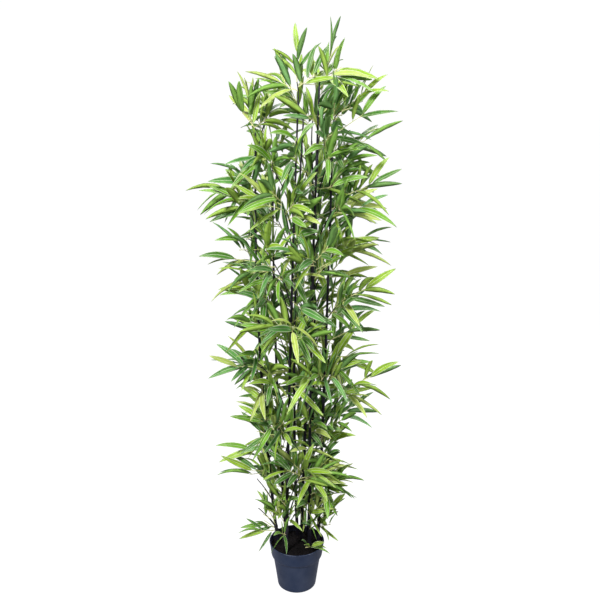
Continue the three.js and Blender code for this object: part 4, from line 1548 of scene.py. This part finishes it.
def leaf_master(number, sizes):
    """A leaf one unit wide and long: a thin closed shell with margins, a folded blade and a raised midrib."""
    fold, arch, sweep, twist, ripple = LEAF_FORMS[number]
    thickness = sizes.thickness / sizes.width
    points, flat, along = [], [], []

    def add(x, y, lift):
        wave = ripple * math.sin(y * RIPPLES + number) * (2 * x) ** 2
        z = fold * abs(x) + wave + arch * (y - y * y) * ARCH + lift
        turn = twist * (y - UNTWISTED_AT)
        lean = sweep * y * y
        cosine, sine = math.cos(turn), math.sin(turn)
        points.append((x * cosine - z * sine + lean, y, x * sine + z * cosine))
        flat.append((x * sizes.width, y * sizes.length))
        along.append(y)

    for y in LEAF_STATIONS:
        half = max(leaf_half_width(y), LEAST_HALF_WIDTH)
        inner, rib = half * (1 - 2 * MARGIN), min(MIDRIB, half * MIDRIB_SHARE)
        for x, lift in ((-half, 0), (-inner, thickness / 2), (-rib, thickness / 2), (rib, thickness / 2),
                        (inner, thickness / 2), (half, 0), (0, -thickness / 2)):
            add(x, y, lift)
    add(0, 1.0, 0)
    tip = len(points) - 1
    kinds = (EDGE, BLADE, EDGE, BLADE, EDGE, BACK, BACK)
    row = len(kinds)
    strips = [(left, (left + 1) % row, zone) for left, zone in enumerate(kinds)]
    faces, zones = [tuple(range(row))], [EDGE]
    for i in range(len(LEAF_STATIONS) - 1):
        for left, right, zone in strips:
            faces.append((i * row + left, i * row + right, (i + 1) * row + right, (i + 1) * row + left))
            zones.append(zone)
    last = (len(LEAF_STATIONS) - 1) * row
    for left, right, zone in strips:
        faces.append((last + left, last + right, tip))
        zones.append(zone)
    faces[0] = tuple(reversed(faces[0]))
    mesh = mesh_from(f"leaf_{number}", points, faces)
    store(mesh, "zone", "INT", zones, "FACE")
    store(mesh, "along", "FLOAT", along)
    corners = mesh.uv_layers.new(name="UVMap")
    for loop in mesh.loops:
        corners.data[loop.index].uv = flat[loop.vertex_index]
    mesh.shade_smooth()
    return mesh


def leaf_place(leaf):
    """Where a leaf's master goes, how it is turned and how large it is."""
    face = leaf.across.cross(leaf.direction)
    turn = Matrix((leaf.across, leaf.direction, face)).transposed().to_quaternion()
    return leaf.at(0), turn, (leaf.width, leaf.length - PETIOLE, leaf.width), leaf.form, leaf.hang


class BAMBOO_OT_leaves(bpy.types.Operator):
    """Makes the cloth leaves, one piece for each tint"""

    bl_idname = "bamboo.leaves"
    bl_label = "Leaves"

    def execute(self, context):
        sizes = settings("bamboo_leaves")
        finishes = settings("bamboo_finishes")
        for tint in TINT_SHARES:
            colour = getattr(finishes, tint)
            bleached = mixed(colour, finishes.pale, EDGE_BLEACH)
            greyed = mixed(colour, finishes.grey, BACK_GREY)
            zones = {
                "Blade": woven_polyester(f"{tint}_blade", colour, LEAF_ROUGHNESS[BLADE]),
                "Edge": woven_polyester(f"{tint}_edge", bleached, LEAF_ROUGHNESS[EDGE]),
                "Back": woven_polyester(f"{tint}_back", greyed, LEAF_ROUGHNESS[BACK]),
            }
            places = [leaf_place(leaf) for leaf in grow_plant().leaves if leaf.tint == tint]
            masters = [leaf_master(number, sizes) for number in range(len(LEAF_FORMS))]
            mesh = scattered_mesh(f"leaves_{tint}", masters, places, zones)
            finished(f"leaves_{tint}", mesh, node_names("foliage_"))
        return {"FINISHED"}


CAMERA_PITCH = 75.8
CAMERA_LENS = 41.9
SWEEP_RADIUS = 9.0
SWEEP_BEND = 2.0
SWEEP_TOP = 7.0
SWEEP_STEPS = 16
SWEEP_SEGMENTS = 96

WORLD_STRENGTH = 0.32
PAPER_GLOW = 0.98
LIGHTS_AIM = Vector((0, 0, 0.9))

# Softboxes: place, size of the side, power in watts
SOFTBOXES = (
    ((-1.6, -2.4, 3.0), 0.7, 196),
    ((2.2, -2.0, 1.9), 1.2, 66),
    ((0.2, 1.6, 3.2), 1.6, 80),
)


class BAMBOO_OT_stage(bpy.types.Operator):
    """Makes the bowl of white paper, the soft lights and the camera"""

    bl_idname = "bamboo.stage"
    bl_label = "Stage"

    def execute(self, context):
        scene = context.scene
        profile = [(0.0, 0.0)]
        profile += [
            (SWEEP_RADIUS - SWEEP_BEND * (1 - math.sin(turn)), SWEEP_BEND * (1 - math.cos(turn)))
            for turn in np.linspace(0, math.pi / 2, SWEEP_STEPS + 1)
        ]
        profile.append((SWEEP_RADIUS, SWEEP_TOP))
        mesh = turned_mesh("paper_sweep", profile, SWEEP_SEGMENTS, is_open=True)
        mesh.materials.append(studio_paper())
        mesh.shade_smooth()
        sweep = bpy.data.objects.new("paper_sweep", mesh)
        scene.collection.objects.link(sweep)
        for ray in ("diffuse", "glossy", "shadow"):
            setattr(sweep, f"visible_{ray}", False)

        world = bpy.data.worlds.new("studio")
        world.use_nodes = True
        world.node_tree.nodes["Background"].inputs["Color"].default_value = WHITE
        world.node_tree.nodes["Background"].inputs["Strength"].default_value = WORLD_STRENGTH
        scene.world = world

        for i, (place, side, power) in enumerate(SOFTBOXES):
            light = bpy.data.lights.new(f"softbox_{i + 1}", "AREA")
            light.shape = "SQUARE"
            light.size = side
            light.energy = power
            lamp = bpy.data.objects.new(light.name, light)
            lamp.location = place
            lamp.visible_camera = False
            lamp.rotation_euler = (LIGHTS_AIM - Vector(place)).to_track_quat("-Z", "Y").to_euler()
            scene.collection.objects.link(lamp)

        lens = bpy.data.cameras.new("camera")
        lens.lens = CAMERA_LENS
        camera = bpy.data.objects.new("camera", lens)
        camera.location = VIEWPOINT
        camera.rotation_euler = (math.radians(CAMERA_PITCH), 0, 0)
        scene.collection.objects.link(camera)
        scene.camera = camera
        scene.view_settings.view_transform = "Standard"
        return {"FINISHED"}


OPERATORS = (
    BAMBOO_OT_pot,
    BAMBOO_OT_filling,
    BAMBOO_OT_canes,
    BAMBOO_OT_wires,
    BAMBOO_OT_twigs,
    BAMBOO_OT_leaves,
    BAMBOO_OT_stage,
)


class BAMBOO_PT_panel(bpy.types.Panel):
    """Lists the sizes, the colours and the steps that make the plant"""

    bl_idname = "BAMBOO_PT_panel"
    bl_label = "Potted bamboo"
    bl_space_type = "VIEW_3D"
    bl_region_type = "UI"
    bl_category = "Bamboo"

    def draw(self, context):
        for name, kind in SETTINGS.items():
            box = self.layout.box()
            box.label(text=kind.__doc__)
            for key in kind.__annotations__:
                box.prop(settings(name), key)
        for operator in OPERATORS:
            self.layout.operator(operator.bl_idname)


CLASSES = (*SETTINGS.values(), *OPERATORS, BAMBOO_PT_panel)


def register():
    for kind in CLASSES:
        bpy.utils.register_class(kind)
    for name, kind in SETTINGS.items():
        setattr(bpy.types.Scene, name, bpy.props.PointerProperty(type=kind))


def unregister():
    for name in SETTINGS:
        delattr(bpy.types.Scene, name)
    for kind in reversed(CLASSES):
        bpy.utils.unregister_class(kind)


def main():
    register()
    for operator in OPERATORS:
        group, name = operator.bl_idname.split(".")
        getattr(getattr(bpy.ops, group), name)()


if __name__ == "__main__":
    main()
